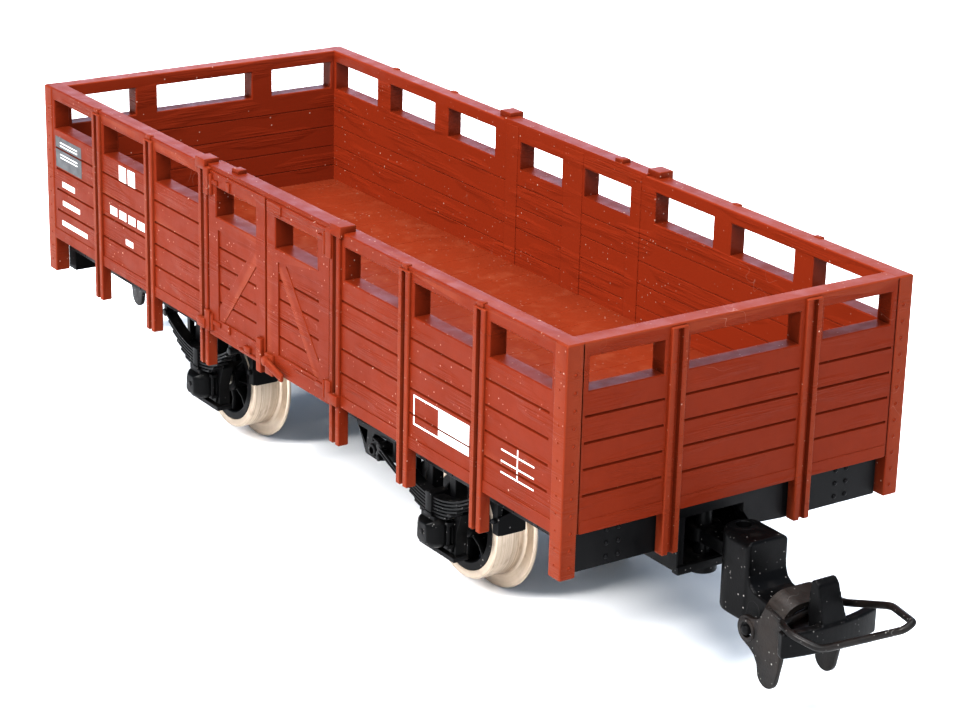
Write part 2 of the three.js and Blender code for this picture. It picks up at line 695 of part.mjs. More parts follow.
// Steel pin through the arm's foot on which the loop bracket turns.
function loopPin() {
  const end = CHEEK_Y + 3 * FIT;
  return rod('y', -end, end, PIN_RADIUS, HINGE_X, HINGE_Z, 16);
}

// Bent sheet-metal bracket: two cheeks with hanging legs, joined by an arched strap behind the prong.
function loopBracket() {
  const cheekOutline = [
    ...arc(HINGE_X, HINGE_Z, 1.0, 130, 250, 8),
    [40.55, 3.6],
    ...arc(41.55, 3.1, 0.85, 190, 350, 8),
    [42.55, 4.6],
    [42.75, 6.4],
    [42.6, 7.6],
    [41.4, 7.75],
    [40.0, 7.05],
  ];
  const cheeks = [-1, 1].map((side) => {
    const a = side * CHEEK_Y;
    const b = side * (CHEEK_Y - CHEEK_THICKNESS);
    return plateXZ(cheekOutline, Math.min(a, b), Math.max(a, b));
  });
  const archHalf = [[2.5, 6.5], [2.42, 7.2], [1.95, 7.85], [1.3, 8.2], [0.6, 8.3]];
  const archInner = [[0.5, 7.95], [1.15, 7.86], [1.68, 7.56], [2.07, 7.05], [2.15, 6.5]];
  const mirrored = (points) => points.map(([y, z]) => [-y, z]).reverse();
  const strap = plateYZ(
    [...archHalf, ...mirrored(archHalf), ...mirrored(archInner), ...archInner],
    STRAP_REAR, STRAP_FRONT,
  );
  const pinHole = rod('y', -CHEEK_Y * 2, CHEEK_Y * 2, HINGE_HOLE_RADIUS, HINGE_X, HINGE_Z, 16);
  return cut(join(...cheeks, strap), pinHole);
}

// The wire loop, bent by hand: it leaves both cheeks and comes to a blunt point.
function loopWire() {
  const route = [
    [42.95, -2.72, 7.35],
    [43.6, -3.2, 7.72],
    [44.5, -3.5, 7.64],
    [45.2, -3.35, 7.2],
    [46.1, -2.95, 6.98],
    [47.5, -2.5, 7.6],
    [49.0, -2.15, 8.4],
    [50.4, -0.95, 9.3],
    [51.2, -0.05, 9.85],
    [50.2, 0.6, 9.75],
    [47.4, 1.6, 9.15],
    [45.4, 1.65, 8.5],
    [44.0, 1.7, 8.05],
    [42.75, 1.9, 7.75],
  ].map(([x, y, z]) => new THREE.Vector3(x, y, z));
  const path = new THREE.CatmullRomCurve3(route, false, 'centripetal');
  const section = new THREE.Shape(
    arc(0, 0, WIRE_RADIUS, 0, 300, 5).map(([x, y]) => new THREE.Vector2(x, y)),
  );
  const geometry = new THREE.ExtrudeGeometry(section, { steps: 28, bevelEnabled: false, extrudePath: path });
  return toSolid(geometry);
}

// ---------------------------------------------------------------- assembly

function mirrored(solid) {
  return solid.mirror([0, 1, 0]);
}

addPiece('side_wall_right', sideWall(), RED_PLASTIC);
addPiece('side_wall_left', sideWall(), RED_PLASTIC, Math.PI);
addBothEnds('end_wall', endWall(), RED_PLASTIC);
addPiece('load_floor', loadFloor(), RED_PLASTIC);
addPiece('underframe', underframe(), BLACK_PLASTIC);
addPiece('ballast_weight', ballastWeight(), STEEL);

for (const [side, make] of [['right', (s) => s], ['left', mirrored]]) {
  addPiece(`axle_guard_front_${side}`, make(axleGuard()), BLACK_PLASTIC);
  addPiece(`tyre_front_${side}`, make(tyre()), NICKEL);
  addPiece(`wheel_centre_front_${side}`, make(wheelCentre()), BLACK_PLASTIC);
  addPiece(`brake_shoe_front_outer_${side}`, make(brakeShoe(1)), BLACK_PLASTIC);
  addPiece(`brake_shoe_front_inner_${side}`, make(brakeShoe(-1)), BLACK_PLASTIC);
  addPiece(`axle_guard_rear_${side}`, mirrored(make(axleGuard())), BLACK_PLASTIC, Math.PI);
  addPiece(`tyre_rear_${side}`, mirrored(make(tyre())), NICKEL, Math.PI);
  addPiece(`wheel_centre_rear_${side}`, mirrored(make(wheelCentre())), BLACK_PLASTIC, Math.PI);
  addPiece(`brake_shoe_rear_outer_${side}`, mirrored(make(brakeShoe(1))), BLACK_PLASTIC, Math.PI);
  addPiece(`brake_shoe_rear_inner_${side}`, mirrored(make(brakeShoe(-1))), BLACK_PLASTIC, Math.PI);
  addPiece(`brake_linkage_${side}`, make(brakeLinkage()), BLACK_PLASTIC);
}
addBothEnds('axle', axle(), STEEL);

addBothEnds('coupler_box', couplerBox(), BLACK_PLASTIC);
addBothEnds('coupler_pivot_screw', pivotScrew(), STEEL);
addBothEnds('coupler_arm', couplerArm(), BLACK_PLASTIC);
addBothEnds('loop_pin', loopPin(), STEEL);
addBothEnds('loop_bracket', loopBracket(), BLACK_METAL);
addBothEnds('loop_wire', loopWire(), BLACK_METAL);

export default wagon;
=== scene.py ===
"""Looks for the two-axle narrow-gauge open wagon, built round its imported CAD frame.

Shapes are worked out in millimetres in the frame's own axes (+X along the wagon towards the end that
the camera sees, -Y the side that it sees, +Z up) and turned into metres when a piece is made.
"""
import json
import math

import bmesh
import bpy
from mathutils import Matrix, Vector

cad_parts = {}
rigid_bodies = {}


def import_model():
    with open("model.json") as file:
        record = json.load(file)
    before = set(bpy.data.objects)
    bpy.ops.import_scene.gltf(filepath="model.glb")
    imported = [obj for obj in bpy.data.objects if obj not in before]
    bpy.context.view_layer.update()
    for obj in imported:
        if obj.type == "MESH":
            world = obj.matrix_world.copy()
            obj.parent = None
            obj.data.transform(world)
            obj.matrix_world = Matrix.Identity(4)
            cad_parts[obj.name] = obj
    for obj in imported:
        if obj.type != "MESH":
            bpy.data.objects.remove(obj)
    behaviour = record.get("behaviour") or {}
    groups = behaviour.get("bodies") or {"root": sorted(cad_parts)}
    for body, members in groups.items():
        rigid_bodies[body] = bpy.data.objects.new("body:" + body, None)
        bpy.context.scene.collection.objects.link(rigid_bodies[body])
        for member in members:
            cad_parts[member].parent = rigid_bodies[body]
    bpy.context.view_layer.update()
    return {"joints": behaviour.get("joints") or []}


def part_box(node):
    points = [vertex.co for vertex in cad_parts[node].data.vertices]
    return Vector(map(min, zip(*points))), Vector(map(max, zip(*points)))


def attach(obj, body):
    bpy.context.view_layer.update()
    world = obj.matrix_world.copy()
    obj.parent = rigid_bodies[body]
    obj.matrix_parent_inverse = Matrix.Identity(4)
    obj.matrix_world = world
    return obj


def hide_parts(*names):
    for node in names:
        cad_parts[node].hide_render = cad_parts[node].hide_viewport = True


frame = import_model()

MM = 0.001


# ---- sizes from the frame

def box_mm(node):
    low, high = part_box(node)
    return Vector(low) / MM, Vector(high) / MM


def joint_mm(name):
    joint = next(j for j in frame["joints"] if j["name"] == name)
    return Vector(joint["pos_m"]) / MM


SIDE_LOW, SIDE_HIGH = box_mm("side_wall_right")
FLOOR_LOW, FLOOR_HIGH = box_mm("load_floor")
UNDER_HIGH = box_mm("underframe")[1]
END_LOW, END_HIGH = box_mm("end_wall_front")
GUARD_LOW, GUARD_HIGH = box_mm("axle_guard_front_right")
TYRE_LOW, TYRE_HIGH = box_mm("tyre_front_right")
CENTRE_LOW, CENTRE_HIGH = box_mm("wheel_centre_front_right")
AXLE_HIGH = box_mm("axle_front")[1]
ARM_HIGH = box_mm("coupler_arm_front")[1]
SHELL_LOW, SHELL_HIGH = box_mm("coupler_box_front")
BRACKET_HIGH = box_mm("loop_bracket_front")[1]
AXLE = joint_mm("wheelset_front_spin")
PIVOT = joint_mm("coupler_front_swing")
HINGE = joint_mm("loop_front_lift")

END = SIDE_HIGH.x                  # half the body's length
TOP = SIDE_HIGH.z
LEG = SIDE_LOW.z                   # bottom of the posts
SILL = FLOOR_LOW.z                 # bottom of the boards
DECK = FLOOR_HIGH.z                # top of the load floor
PROUD = 0.2                        # posts beyond the boards
FACE = SIDE_LOW.y + PROUD          # outer face of the -Y boards
INNER = SIDE_HIGH.y                # inner face of the -Y boards
END_INNER = END_LOW.x

WINDOW_BOTTOM = 21.2
WINDOW_TOP = 23.45
WINDOW_MARGIN = 0.32
STRIP_TOP = 13.05                  # sill strip under the lowest board
SEAMS = [14.64 + 1.687 * i for i in range(4)]
SEAM_WIDTH = 0.17
SEAM_DEPTH = 0.2

POSTS = (9.07, 17.5, 26.0)
POST_HALF = 0.63
POST_TOP = 24.12
CHANNEL_HALF = 0.22
CORNER = 1.2
END_POST = 5.25
RIVET_PITCH = 1.12
RIVET_RADIUS = 0.13

DOOR_FACE = FACE - 0.12
DOOR_OUTER = 8.3
DOOR_BOTTOM = 11.95
DOOR_TOP = 24.2
DOOR_SEAMS = [14.69 + 1.36 * i for i in range(4)]
DOOR_PLANKS = (13.35, 20.07)       # sunk planks from bottom rail to mid rail
DOOR_WINDOW = (21.0, 23.15)
DOORS = (                          # the two leaves: their edges, sunk planks, window and brace
    ((-DOOR_OUTER, -0.25), (-6.95, -1.5), (-7.2, -1.6),
     [(-6.95, 13.3), (-6.27, 13.3), (-1.45, 19.07), (-1.45, 20.1), (-1.93, 20.1), (-6.95, 14.30)]),
    ((0.03, DOOR_OUTER), (1.55, 6.95), (1.17, 6.6),
     [(1.5, 20.1), (2.44, 20.1), (7.0, 14.3), (7.0, 13.3), (6.33, 13.3), (1.5, 19.5)]),
)


# ---- mesh toolkit

def finish_mesh(bm, radius, steps, sharp_angle=0.5):
    """A mesh from bm, its sharp edges rounded first."""
    bmesh.ops.recalc_face_normals(bm, faces=bm.faces)
    if radius > 0:
        sharp = [e for e in bm.edges if e.is_manifold and e.calc_face_angle(0) > sharp_angle]
        bmesh.ops.bevel(
            bm, geom=sharp, offset=radius, segments=steps, profile=0.5,
            affect="EDGES", clamp_overlap=True,
        )
    mesh = bpy.data.meshes.new("part")
    bm.to_mesh(mesh)
    bm.free()
    return mesh


def block(x0, x1, y0, y1, z0, z1, radius=0.05, steps=2):
    """A box with rounded edges."""
    bm = bmesh.new()
    bmesh.ops.create_cube(bm, size=1.0)
    low = Vector((min(x0, x1), min(y0, y1), min(z0, z1)))
    high = Vector((max(x0, x1), max(y0, y1), max(z0, z1)))
    for v in bm.verts:
        v.co = Vector(low[i] + (v.co[i] + 0.5) * (high[i] - low[i]) for i in range(3))
    return finish_mesh(bm, radius, steps)


def on_axis(axis, along, a, b):
    """A point from its place along an axis and its two other coordinates, in x, y, z order."""
    if axis == "x":
        return Vector((along, a, b))
    if axis == "y":
        return Vector((a, along, b))
    return Vector((a, b, along))


def loft(sections, radius=0.0, steps=2, ring=False):
    """A closed skin through rings of points, with flat ends, or round again to the first ring."""
    bm = bmesh.new()
    rings = [[bm.verts.new(p) for p in section] for section in sections]
    for one, two in zip(rings, rings[1:] + (rings[:1] if ring else [])):
        for i in range(len(one)):
            j = (i + 1) % len(one)
            bm.faces.new((one[i], one[j], two[j], two[i]))
    if not ring:
        bm.faces.new(rings[0])
        bm.faces.new(rings[-1])
    bmesh.ops.remove_doubles(bm, verts=bm.verts, dist=1e-5)
    return finish_mesh(bm, radius, steps)


def prism(points, axis, start, end, radius=0.05, steps=2):
    """An outline made solid along one axis, its sharp edges rounded."""
    sections = [[on_axis(axis, along, a, b) for a, b in points] for along in (start, end)]
    return loft(sections, radius, steps)


def circle(a, b, radius, sides):
    turns = [2 * math.pi * i / sides for i in range(sides)]
    return [(a + radius * math.cos(t), b + radius * math.sin(t)) for t in turns]


def rod(axis, start, end, radius, a, b, sides=24, rounding=0.0):
    return prism(circle(a, b, radius, sides), axis, start, end, rounding)


def arc(a, b, radius, start, end, steps):
    """Points on an arc from one angle to another, in degrees."""
    angles = [math.radians(start + (end - start) * i / steps) for i in range(steps + 1)]
    return [(a + radius * math.cos(t), b + radius * math.sin(t)) for t in angles]


def turned(profile, segments=96):
    """A closed ring turned about the axle, from a closed outline of (radius, y)."""
    angles = [2 * math.pi * i / segments for i in range(segments)]
    sections = [
        [Vector((AXLE.x + r * math.sin(t), y, AXLE.z + r * math.cos(t))) for r, y in profile] for t in angles
    ]
    return loft(sections, ring=True)


def dome(x, y, z, radius, axis, height=0.6):
    """A rivet head: a ball flattened along one axis, its poles on that axis."""
    bm = bmesh.new()
    bmesh.ops.create_uvsphere(bm, u_segments=14, v_segments=8, radius=radius)
    for v in bm.verts:
        v.co = on_axis(axis, v.co.z * height, v.co.x, v.co.y) + Vector((x, y, z))
    return finish_mesh(bm, 0, 0)


def beam(start, end, width, height, radius=0.05):
    """A rounded bar between two points, as wide in y as width and as thick as height."""
    start, end = Vector(start), Vector(end)
    along = (end - start).normalized()
    side = Vector((0, 1, 0)) if abs(along.y) < 0.9 else Vector((1, 0, 0))
    up = along.cross(side).normalized()
    side = up.cross(along)
    corners = [(-1, -1), (1, -1), (1, 1), (-1, 1)]
    sections = [
        [p + side * (a * width / 2) + up * (b * height / 2) for a, b in corners] for p in (start, end)
    ]
    return loft(sections, radius)


def placed(name, data):
    """A new object in the scene."""
    made = bpy.data.objects.new(name, data)
    bpy.context.scene.collection.objects.link(made)
    return made


def applied(holder):
    """An object's mesh with its modifiers made real; the object itself goes."""
    graph = bpy.context.evaluated_depsgraph_get()
    result = bpy.data.meshes.new_from_object(holder.evaluated_get(graph))
    bpy.data.objects.remove(holder)
    return result


def operate(base, operation, meshes):
    """base joined with, or cut by, the given meshes."""
    group = bpy.data.collections.new("operands")
    for mesh in meshes:
        group.objects.link(bpy.data.objects.new("operand", mesh))
    target = placed("target", base)
    modifier = target.modifiers.new("boolean", "BOOLEAN")
    modifier.operation = operation
    modifier.operand_type = "COLLECTION"
    modifier.collection = group
    modifier.solver = "MANIFOLD"
    result = applied(target)
    for item in list(group.objects):
        bpy.data.objects.remove(item)
    bpy.data.collections.remove(group)
    return result


def fuse(adds, cuts=()):
    """One body from many overlapping ones, less the cuts."""
    result = operate(adds[0], "UNION", adds[1:]) if len(adds) > 1 else adds[0]
    return operate(result, "DIFFERENCE", cuts) if cuts else result


def together(meshes):
    """Separate small bodies kept in one mesh."""
    bm = bmesh.new()
    for mesh in meshes:
        bm.from_mesh(mesh)
    return finish_mesh(bm, 0, 0)


def soften(mesh, voxel, rounds):
    """The same body with every edge and inner corner rounded, as moulded plastic is."""
    holder = placed("holder", mesh)
    remesh = holder.modifiers.new("remesh", "REMESH")
    remesh.mode = "VOXEL"
    remesh.voxel_size = voxel
    smooth = holder.modifiers.new("smooth", "SMOOTH")
    smooth.factor = 0.5
    smooth.iterations = rounds
    return applied(holder)


def flipped(mesh):
    """The same body mirrored end for end about the axle."""
    data = mesh.copy()
    data.transform(Matrix.Translation((2 * AXLE.x, 0, 0)) @ Matrix.Scale(-1, 4, (1, 0, 0)))
    data.flip_normals()
    return data


TURN = Matrix.Rotation(math.pi, 4, "Z")
MIRROR = Matrix.Scale(-1, 4, (0, 1, 0))


def piece(name, mesh, material, body, stands_for=(), turn=False, mirror=False, smooth=35):
    """Makes an object from a mesh in millimetres, turned half round or mirrored, on its body."""
    data = mesh.copy()
    data.name = name
    if mirror:
        data.transform(MIRROR)
        data.flip_normals()
    if turn:
        data.transform(TURN)
    data.transform(Matrix.Scale(MM, 4))
    data.materials.clear()
    data.materials.append(material)
    data.shade_smooth()
    data.set_sharp_from_angle(angle=math.radians(smooth))
    obj = placed(name, data)
    weighted = obj.modifiers.new("normals", "WEIGHTED_NORMAL")
    weighted.keep_sharp = True
    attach(obj, body)
    if stands_for:
        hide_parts(*stands_for)


def cover(node, ending, mesh, material, slot, body="wagon", turn=False, mirror=False, smooth=35):
    """The piece that stands for one CAD node, and is named after it."""
    piece(f"{node}_{ending}", mesh, material, body, [node], turn, mirror, smooth)


# ---- materials

class Nodes:
    """Short calls for building one node material. Lengths are in millimetres of the object."""

    def __init__(self, name):
        self.material = bpy.data.materials.new(name)
        self.material.use_nodes = True
        self.tree = self.material.node_tree
        self.shader = self.tree.nodes["Principled BSDF"]
        place = self.tree.nodes.new("ShaderNodeTexCoord").outputs["Object"]
        self.place = self.scaled(place, (1 / MM, 1 / MM, 1 / MM))

    def link(self, value, socket):
        if isinstance(value, (int, float, tuple)):
            socket.default_value = value
        else:
            self.tree.links.new(value, socket)

    def feed(self, name, value):
        """Drives or sets one input of the surface shader."""
        self.link(value, self.shader.inputs[name])

    def node(self, kind, inputs, **settings):
        """The outputs of a new node, its settings made and its inputs linked or set."""
        made = self.tree.nodes.new(kind)
        for key, value in settings.items():
            setattr(made, key, value)
        for key, value in inputs.items():
            self.link(value, made.inputs[key])
        return made.outputs

    def scaled(self, vector, scale):
        return self.node("ShaderNodeMapping", {"Scale": scale, "Vector": vector})["Vector"]

    def noise(self, scale, detail=2.0, stretch=None, rough=0.5, distortion=0.0):
        return self.node("ShaderNodeTexNoise", {
            "Vector": self.scaled(self.place, stretch) if stretch else self.place,
            "Scale": scale, "Detail": detail, "Roughness": rough, "Distortion": distortion,
        })["Fac"]

    def cells(self, scale, output="Distance"):
        return self.node("ShaderNodeTexVoronoi", {"Vector": self.place, "Scale": scale})[output]

    def math(self, operation, a, b=0.0, clamp=False):
        return self.node("ShaderNodeMath", {0: a, 1: b}, operation=operation, use_clamp=clamp)[0]

    def times(self, a, b, clamp=False):
        return self.math("MULTIPLY", a, b, clamp)

    def remap(self, value, low, high, to_low=0.0, to_high=1.0):
        return self.node("ShaderNodeMapRange", {
            "Value": value, "From Min": low, "From Max": high, "To Min": to_low, "To Max": to_high,
        }, clamp=True)["Result"]

    def mix(self, factor, one, two):
        return self.node("ShaderNodeMix", {"Factor": factor, "A": one, "B": two}, data_type="RGBA")["Result"]

    def part(self, vector, axis):
        return self.node("ShaderNodeSeparateXYZ", {"Vector": vector})[axis]

    def within(self, axis, reach):
        """1 where the coordinate lies within reach of the middle of the wagon."""
        return self.math("LESS_THAN", self.math("ABSOLUTE", self.part(self.place, axis)), reach)

    def up(self):
        """1 where the surface faces up, 0 where it stands or faces down."""
        facing = self.node("ShaderNodeNewGeometry", {})["Normal"]
        return self.remap(self.part(facing, "Z"), 0.4, 0.95)

    def edges(self):
        """1 on outer edges, from the shape of the mesh."""
        return self.remap(self.node("ShaderNodeNewGeometry", {})["Pointiness"], 0.53, 0.62)

    def bump(self, height, strength, distance, below=None):
        inputs = {"Strength": strength, "Distance": distance * MM, "Height": height}
        if below is not None:
            inputs["Normal"] = below
        return self.node("ShaderNodeBump", inputs)["Normal"]

    def specks(self, scale, size, share):
        """Small round specks: cells of the given scale, only a share of them filled."""
        near = self.remap(self.cells(scale), size * 0.7, size, 1.0, 0.0)
        pick = self.node("ShaderNodeSeparateColor", {0: self.cells(scale, "Color")})[0]
        chosen = self.math("GREATER_THAN", pick, 1.0 - share)
        return self.times(near, chosen)

    def fibres(self, scale, width, patches):
        """Thin wandering hairs: the mid lines of a smooth noise, kept in a few patches."""
        line = self.math("ABSOLUTE", self.math("SUBTRACT", self.noise(scale, 1.0, distortion=0.6), 0.5))
        thin = self.remap(line, width * 0.4, width, 1.0, 0.0)
        where = self.remap(self.noise(patches, 1.0), 0.66, 0.69)
        return self.times(thin, where)

    def dust(self, colour, amount, density, tone):
        """Pale specks and a few hairs laid over a colour, gathered in drifts."""
        crowd = self.remap(self.noise(0.09, 2.0), 0.42, 0.60, 0.3, 1.0)
        fine = self.times(self.times(self.specks(3.1, 0.19, density), crowd), 0.6)
        middle = self.times(self.specks(2.1, 0.145, density * 0.6), crowd)
        coarse = self.specks(0.95, 0.075, density * 0.5)
        hairs = self.times(self.fibres(0.35, 0.003, 0.16), 0.22)
        found = fine
        for other in (middle, coarse, hairs):
            found = self.math("MAXIMUM", found, other)
        return self.mix(self.times(found, amount, clamp=True), colour, tone), found

    def dusty_plastic(self, colour, dust, skin, rough, specular):
        """Plastic with the given colour, skin bump and roughness, and dust lying on it."""
        dusted, found = self.dust(colour, *dust)
        self.feed("Base Color", dusted)
        self.feed("Normal", self.bump(found, 0.5, 0.04, skin))
        self.feed("Roughness", self.math("MAXIMUM", rough, self.times(found, 0.9)))
        self.feed("Specular IOR Level", specular)
        return self.material


WARM_DUST = (0.40, 0.29, 0.24, 1)
GREY_DUST = (0.30, 0.285, 0.27, 1)


def red_plastic():
    """Red-brown body moulding: satin, fine wood grain on some boards, edges lightened partly as rubbed wear
    and partly as a painted highlight, dust.
    """
    n = Nodes("red_plastic")
    broad = n.remap(n.noise(0.11, 3.0), 0.35, 0.65)
    deep = n.mix(broad, (0.118, 0.0152, 0.0038, 1), (0.135, 0.0185, 0.0050, 1))
    mottled = n.mix(n.remap(n.noise(1.7, 4.0), 0.3, 0.7, 0.0, 0.25), deep, (0.098, 0.0118, 0.0028, 1))
    # edges lightened from pointiness: partly rubbed wear, partly a painted highlight along the convex edges
    worn_and_highlit_edges = n.mix(n.times(n.edges(), 0.35), mottled, (0.185, 0.044, 0.019, 1))
    # a pale film on the load floor
    haze = n.remap(n.noise(0.55, 5.0, rough=0.7), 0.5, 0.72, 0.0, 0.24)
    low = n.remap(n.part(n.place, "Z"), DECK + 1.5, DECK + 0.2)
    filmed = n.mix(n.times(n.times(haze, n.up()), low), worn_and_highlit_edges, (0.235, 0.085, 0.045, 1))
    # the standing faces inside the body are painted paler: painted light that brightens the inner walls
    within = n.times(n.within("X", END_INNER + 0.1), n.within("Y", -INNER + 0.1))
    inner_walls_light_mask = n.times(within, n.math("SUBTRACT", 1.0, n.up()))
    inner_walls_painted_light = n.mix(n.times(inner_walls_light_mask, 0.7), filmed, (0.194, 0.0265, 0.0080, 1))
    grain = n.noise(1.0, 3.0, stretch=(0.2, 0.2, 5.2), rough=0.55, distortion=0.5)
    boards = n.remap(n.noise(0.3, 1.0, stretch=(0.5, 0.5, 2.0)), 0.5, 0.6, 0.08, 1.0)
    skin = n.bump(n.noise(9.0, 2.0), 0.12, 0.03, n.bump(n.times(grain, boards), 0.9, 0.09))
    rough = n.remap(n.noise(0.8, 4.0), 0.3, 0.7, 0.34, 0.5)
    return n.dusty_plastic(inner_walls_painted_light, (0.8, 0.16, WARM_DUST), skin, rough, 0.06)


def black_plastic():
    """Black chassis moulding: dark, satin, with grey dust in it."""
    n = Nodes("black_plastic")
    broad = n.remap(n.noise(0.5, 3.0), 0.35, 0.65)
    base = n.mix(broad, (0.0010, 0.00095, 0.0011, 1), (0.0020, 0.0019, 0.0021, 1))
    # edges lightened from pointiness: partly rubbed wear, partly a painted highlight along the convex edges
    worn_and_highlit_edges = n.mix(n.times(n.edges(), 0.4), base, (0.017, 0.016, 0.017, 1))
    film = n.times(n.remap(n.noise(1.3, 5.0), 0.48, 0.75, 0.0, 0.1), n.up())
    hazed = n.mix(film, worn_and_highlit_edges, (0.10, 0.085, 0.076, 1))
    skin = n.bump(n.noise(7.0, 3.0), 0.18, 0.03)
    rough = n.remap(n.noise(0.9, 4.0), 0.3, 0.7, 0.3, 0.46)
    return n.dusty_plastic(hazed, (0.6, 0.24, GREY_DUST), skin, rough, 0.10)


def turned_nickel():
    """Warm nickel tyre with fine lathe lines round it and a little grime."""
    n = Nodes("turned_nickel")
    lines = n.noise(1.0, 4.0, stretch=(0.05, 11.0, 0.05), rough=0.7)
    tone = n.mix(n.remap(lines, 0.3, 0.7), (0.37, 0.30, 0.235, 1), (0.64, 0.55, 0.455, 1))
    grime = n.remap(n.noise(0.8, 4.0, stretch=(1, 3, 1)), 0.56, 0.78, 0.0, 0.55)
    n.feed("Base Color", n.mix(grime, tone, (0.20, 0.155, 0.115, 1)))
    n.feed("Normal", n.bump(lines, 0.6, 0.03))
    n.feed("Roughness", n.remap(n.noise(2.0, 3.0), 0.3, 0.7, 0.32, 0.5))
    n.feed("Metallic", 0.9)
    return n.material


def plain_steel():
    """Turned steel of the axles and the ballast weight."""
    n = Nodes("plain_steel")
    lines = n.noise(1.0, 3.0, stretch=(3.0, 3.0, 9.0), rough=0.6)
    tone = n.mix(n.remap(lines, 0.3, 0.7), (0.30, 0.27, 0.23, 1), (0.52, 0.48, 0.42, 1))
    stains = n.remap(n.noise(1.1, 3.0), 0.55, 0.8, 0.0, 0.5)
    n.feed("Base Color", n.mix(stains, tone, (0.14, 0.09, 0.05, 1)))
    n.feed("Normal", n.bump(lines, 0.2, 0.02))
    n.feed("Roughness", n.remap(lines, 0.3, 0.7, 0.3, 0.45))
    n.feed("Metallic", 1.0)
    return n.material


def blackened_metal():
    """Chemically blackened sheet and wire with brown showing through."""
    n = Nodes("blackened_metal")
    patches = n.remap(n.noise(0.9, 5.0, rough=0.65), 0.4, 0.68)
    base = n.mix(patches, (0.0032, 0.0026, 0.0024, 1), (0.0085, 0.0052, 0.0040, 1))
    # edges lightened to brown from pointiness: partly wear showing the brown, partly a painted highlight
    # along the convex edges
    worn_and_highlit_edges = n.mix(n.times(n.edges(), 0.12), base, (0.06, 0.045, 0.035, 1))
    colour, found = n.dust(worn_and_highlit_edges, 0.8, 0.45, GREY_DUST)
    n.feed("Base Color", colour)
    n.feed("Normal", n.bump(n.noise(6.0, 4.0), 0.35, 0.03))
    n.feed("Roughness", n.remap(n.noise(1.5, 4.0), 0.3, 0.7, 0.3, 0.55))
    n.feed("Metallic", n.math("SUBTRACT", 0.12, found, clamp=True))
    n.feed("Specular IOR Level", 0.22)
    return n.material


def ink(name, fresh, under, grain, wear, rough):
    """Pad-printed ink, uneven, with what is under it showing where its noise says it is worn."""
    n = Nodes(name)
    worn = n.remap(n.noise(grain, 5.0, rough=0.7), *wear)
    n.feed("Base Color", n.mix(worn, fresh, under))
    n.feed("Normal", n.bump(n.noise(8.0, 3.0), 0.15, 0.02))
    n.feed("Roughness", n.remap(n.noise(1.4, 3.0), 0.3, 0.7, rough, rough + 0.2))
    return n.material


def white_print():
    return ink("white_print", (0.62, 0.61, 0.60, 1), (0.36, 0.20, 0.16, 1), 3.2, (0.62, 0.72), 0.4)


def grey_print():
    wear = (0.45, 0.75, 0.0, 0.6)
    return ink("grey_print", (0.032, 0.033, 0.035, 1), (0.060, 0.051, 0.050, 1), 2.2, wear, 0.42)


def pale_floor():
    n = Nodes("pale_floor")
    n.feed("Base Color", n.mix(n.noise(0.02, 3.0), (0.86, 0.86, 0.87, 1), (0.90, 0.90, 0.91, 1)))
    n.feed("Roughness", 0.7)
    return n.material


RED = red_plastic()
BLACK = black_plastic()
NICKEL = turned_nickel()
STEEL = plain_steel()
BLACKENED = blackened_metal()
WHITE = white_print()
GREY = grey_print()


# ---- camera, light and floor

def make_camera():
    """The photograph's viewpoint: azimuth, elevation and roll of a camera with no shift."""
    place = Vector((0.153631, -0.100782, 0.077034))
    azimuth, elevation, roll = (math.radians(d) for d in (55.61, 19.957, 1.412))
    back = Vector((
        math.sin(azimuth) * math.cos(elevation),
        -math.cos(azimuth) * math.cos(elevation),
        math.sin(elevation),
    ))
    right = (-back).cross(Vector((0, 0, 1))).normalized()
    up = right.cross(-back)
    across = math.cos(roll) * right + math.sin(roll) * up
    upward = -math.sin(roll) * right + math.cos(roll) * up
    data = bpy.data.cameras.new("camera")
    data.lens = 101.3
    data.sensor_width = 36.0
    data.clip_start = 0.005
    data.clip_end = 20.0
    camera = placed("camera", data)
    turn = Matrix((across, upward, back)).transposed().to_4x4()
    camera.matrix_world = Matrix.Translation(place) @ turn
    bpy.context.scene.camera = camera


def soft_light(name, place, target, size, power, colour=(1, 1, 1), height=None, sheen_only=False):
    """A light panel aimed at a point, square unless its height is given; a sheen-only panel shows
    just in reflections."""
    data = bpy.data.lights.new(name, "AREA")
    data.shape = "RECTANGLE"
    data.size = size
    data.size_y = height or size
    data.energy = power
    data.color = colour
    light = placed(name, data)
    light.location = place
    light.rotation_mode = "QUATERNION"
    light.rotation_quaternion = (Vector(target) - Vector(place)).to_track_quat("-Z", "Y")
    light.visible_diffuse = not sheen_only


def make_studio():
    """Pale floor, bluish surroundings, and panels at the side, the front and overhead."""
    data = bpy.data.meshes.new("floor")
    half = 3.0
    corners = [(-half, -half, 0), (half, -half, 0), (half, half, 0), (-half, half, 0)]
    data.from_pydata(corners, [], [(0, 1, 2, 3)])
    data.materials.append(pale_floor())
    placed("floor", data)
    world = bpy.data.worlds.new("studio")
    world.use_nodes = True
    background = world.node_tree.nodes["Background"].inputs
    background["Color"].default_value = (0.66, 0.82, 1.0, 1)
    background["Strength"].default_value = 0.92
    bpy.context.scene.world = world
    view = bpy.context.scene.view_settings
    view.view_transform = "Standard"
    view.gamma = 0.8
    soft_light("key", (0.03, -0.60, 0.51), (0, 0, 0.01), 0.14, 11.8, (1.0, 0.985, 0.965), height=0.34)
    soft_light("front", (1.00, -0.45, 0.78), (0, 0, 0.012), 0.50, 17.2, (1.0, 0.985, 0.97))
    soft_light("top", (0.0, 0.0, 0.80), (0, 0, 0.0), 0.60, 12.0, (0.98, 0.99, 1.0))
    soft_light("sky", (-0.62, 0.42, 0.26), (0, 0, 0.02), 0.42, 2.0, (0.62, 0.72, 1.0), sheen_only=True)


make_camera()
make_studio()


# ---- wagon body

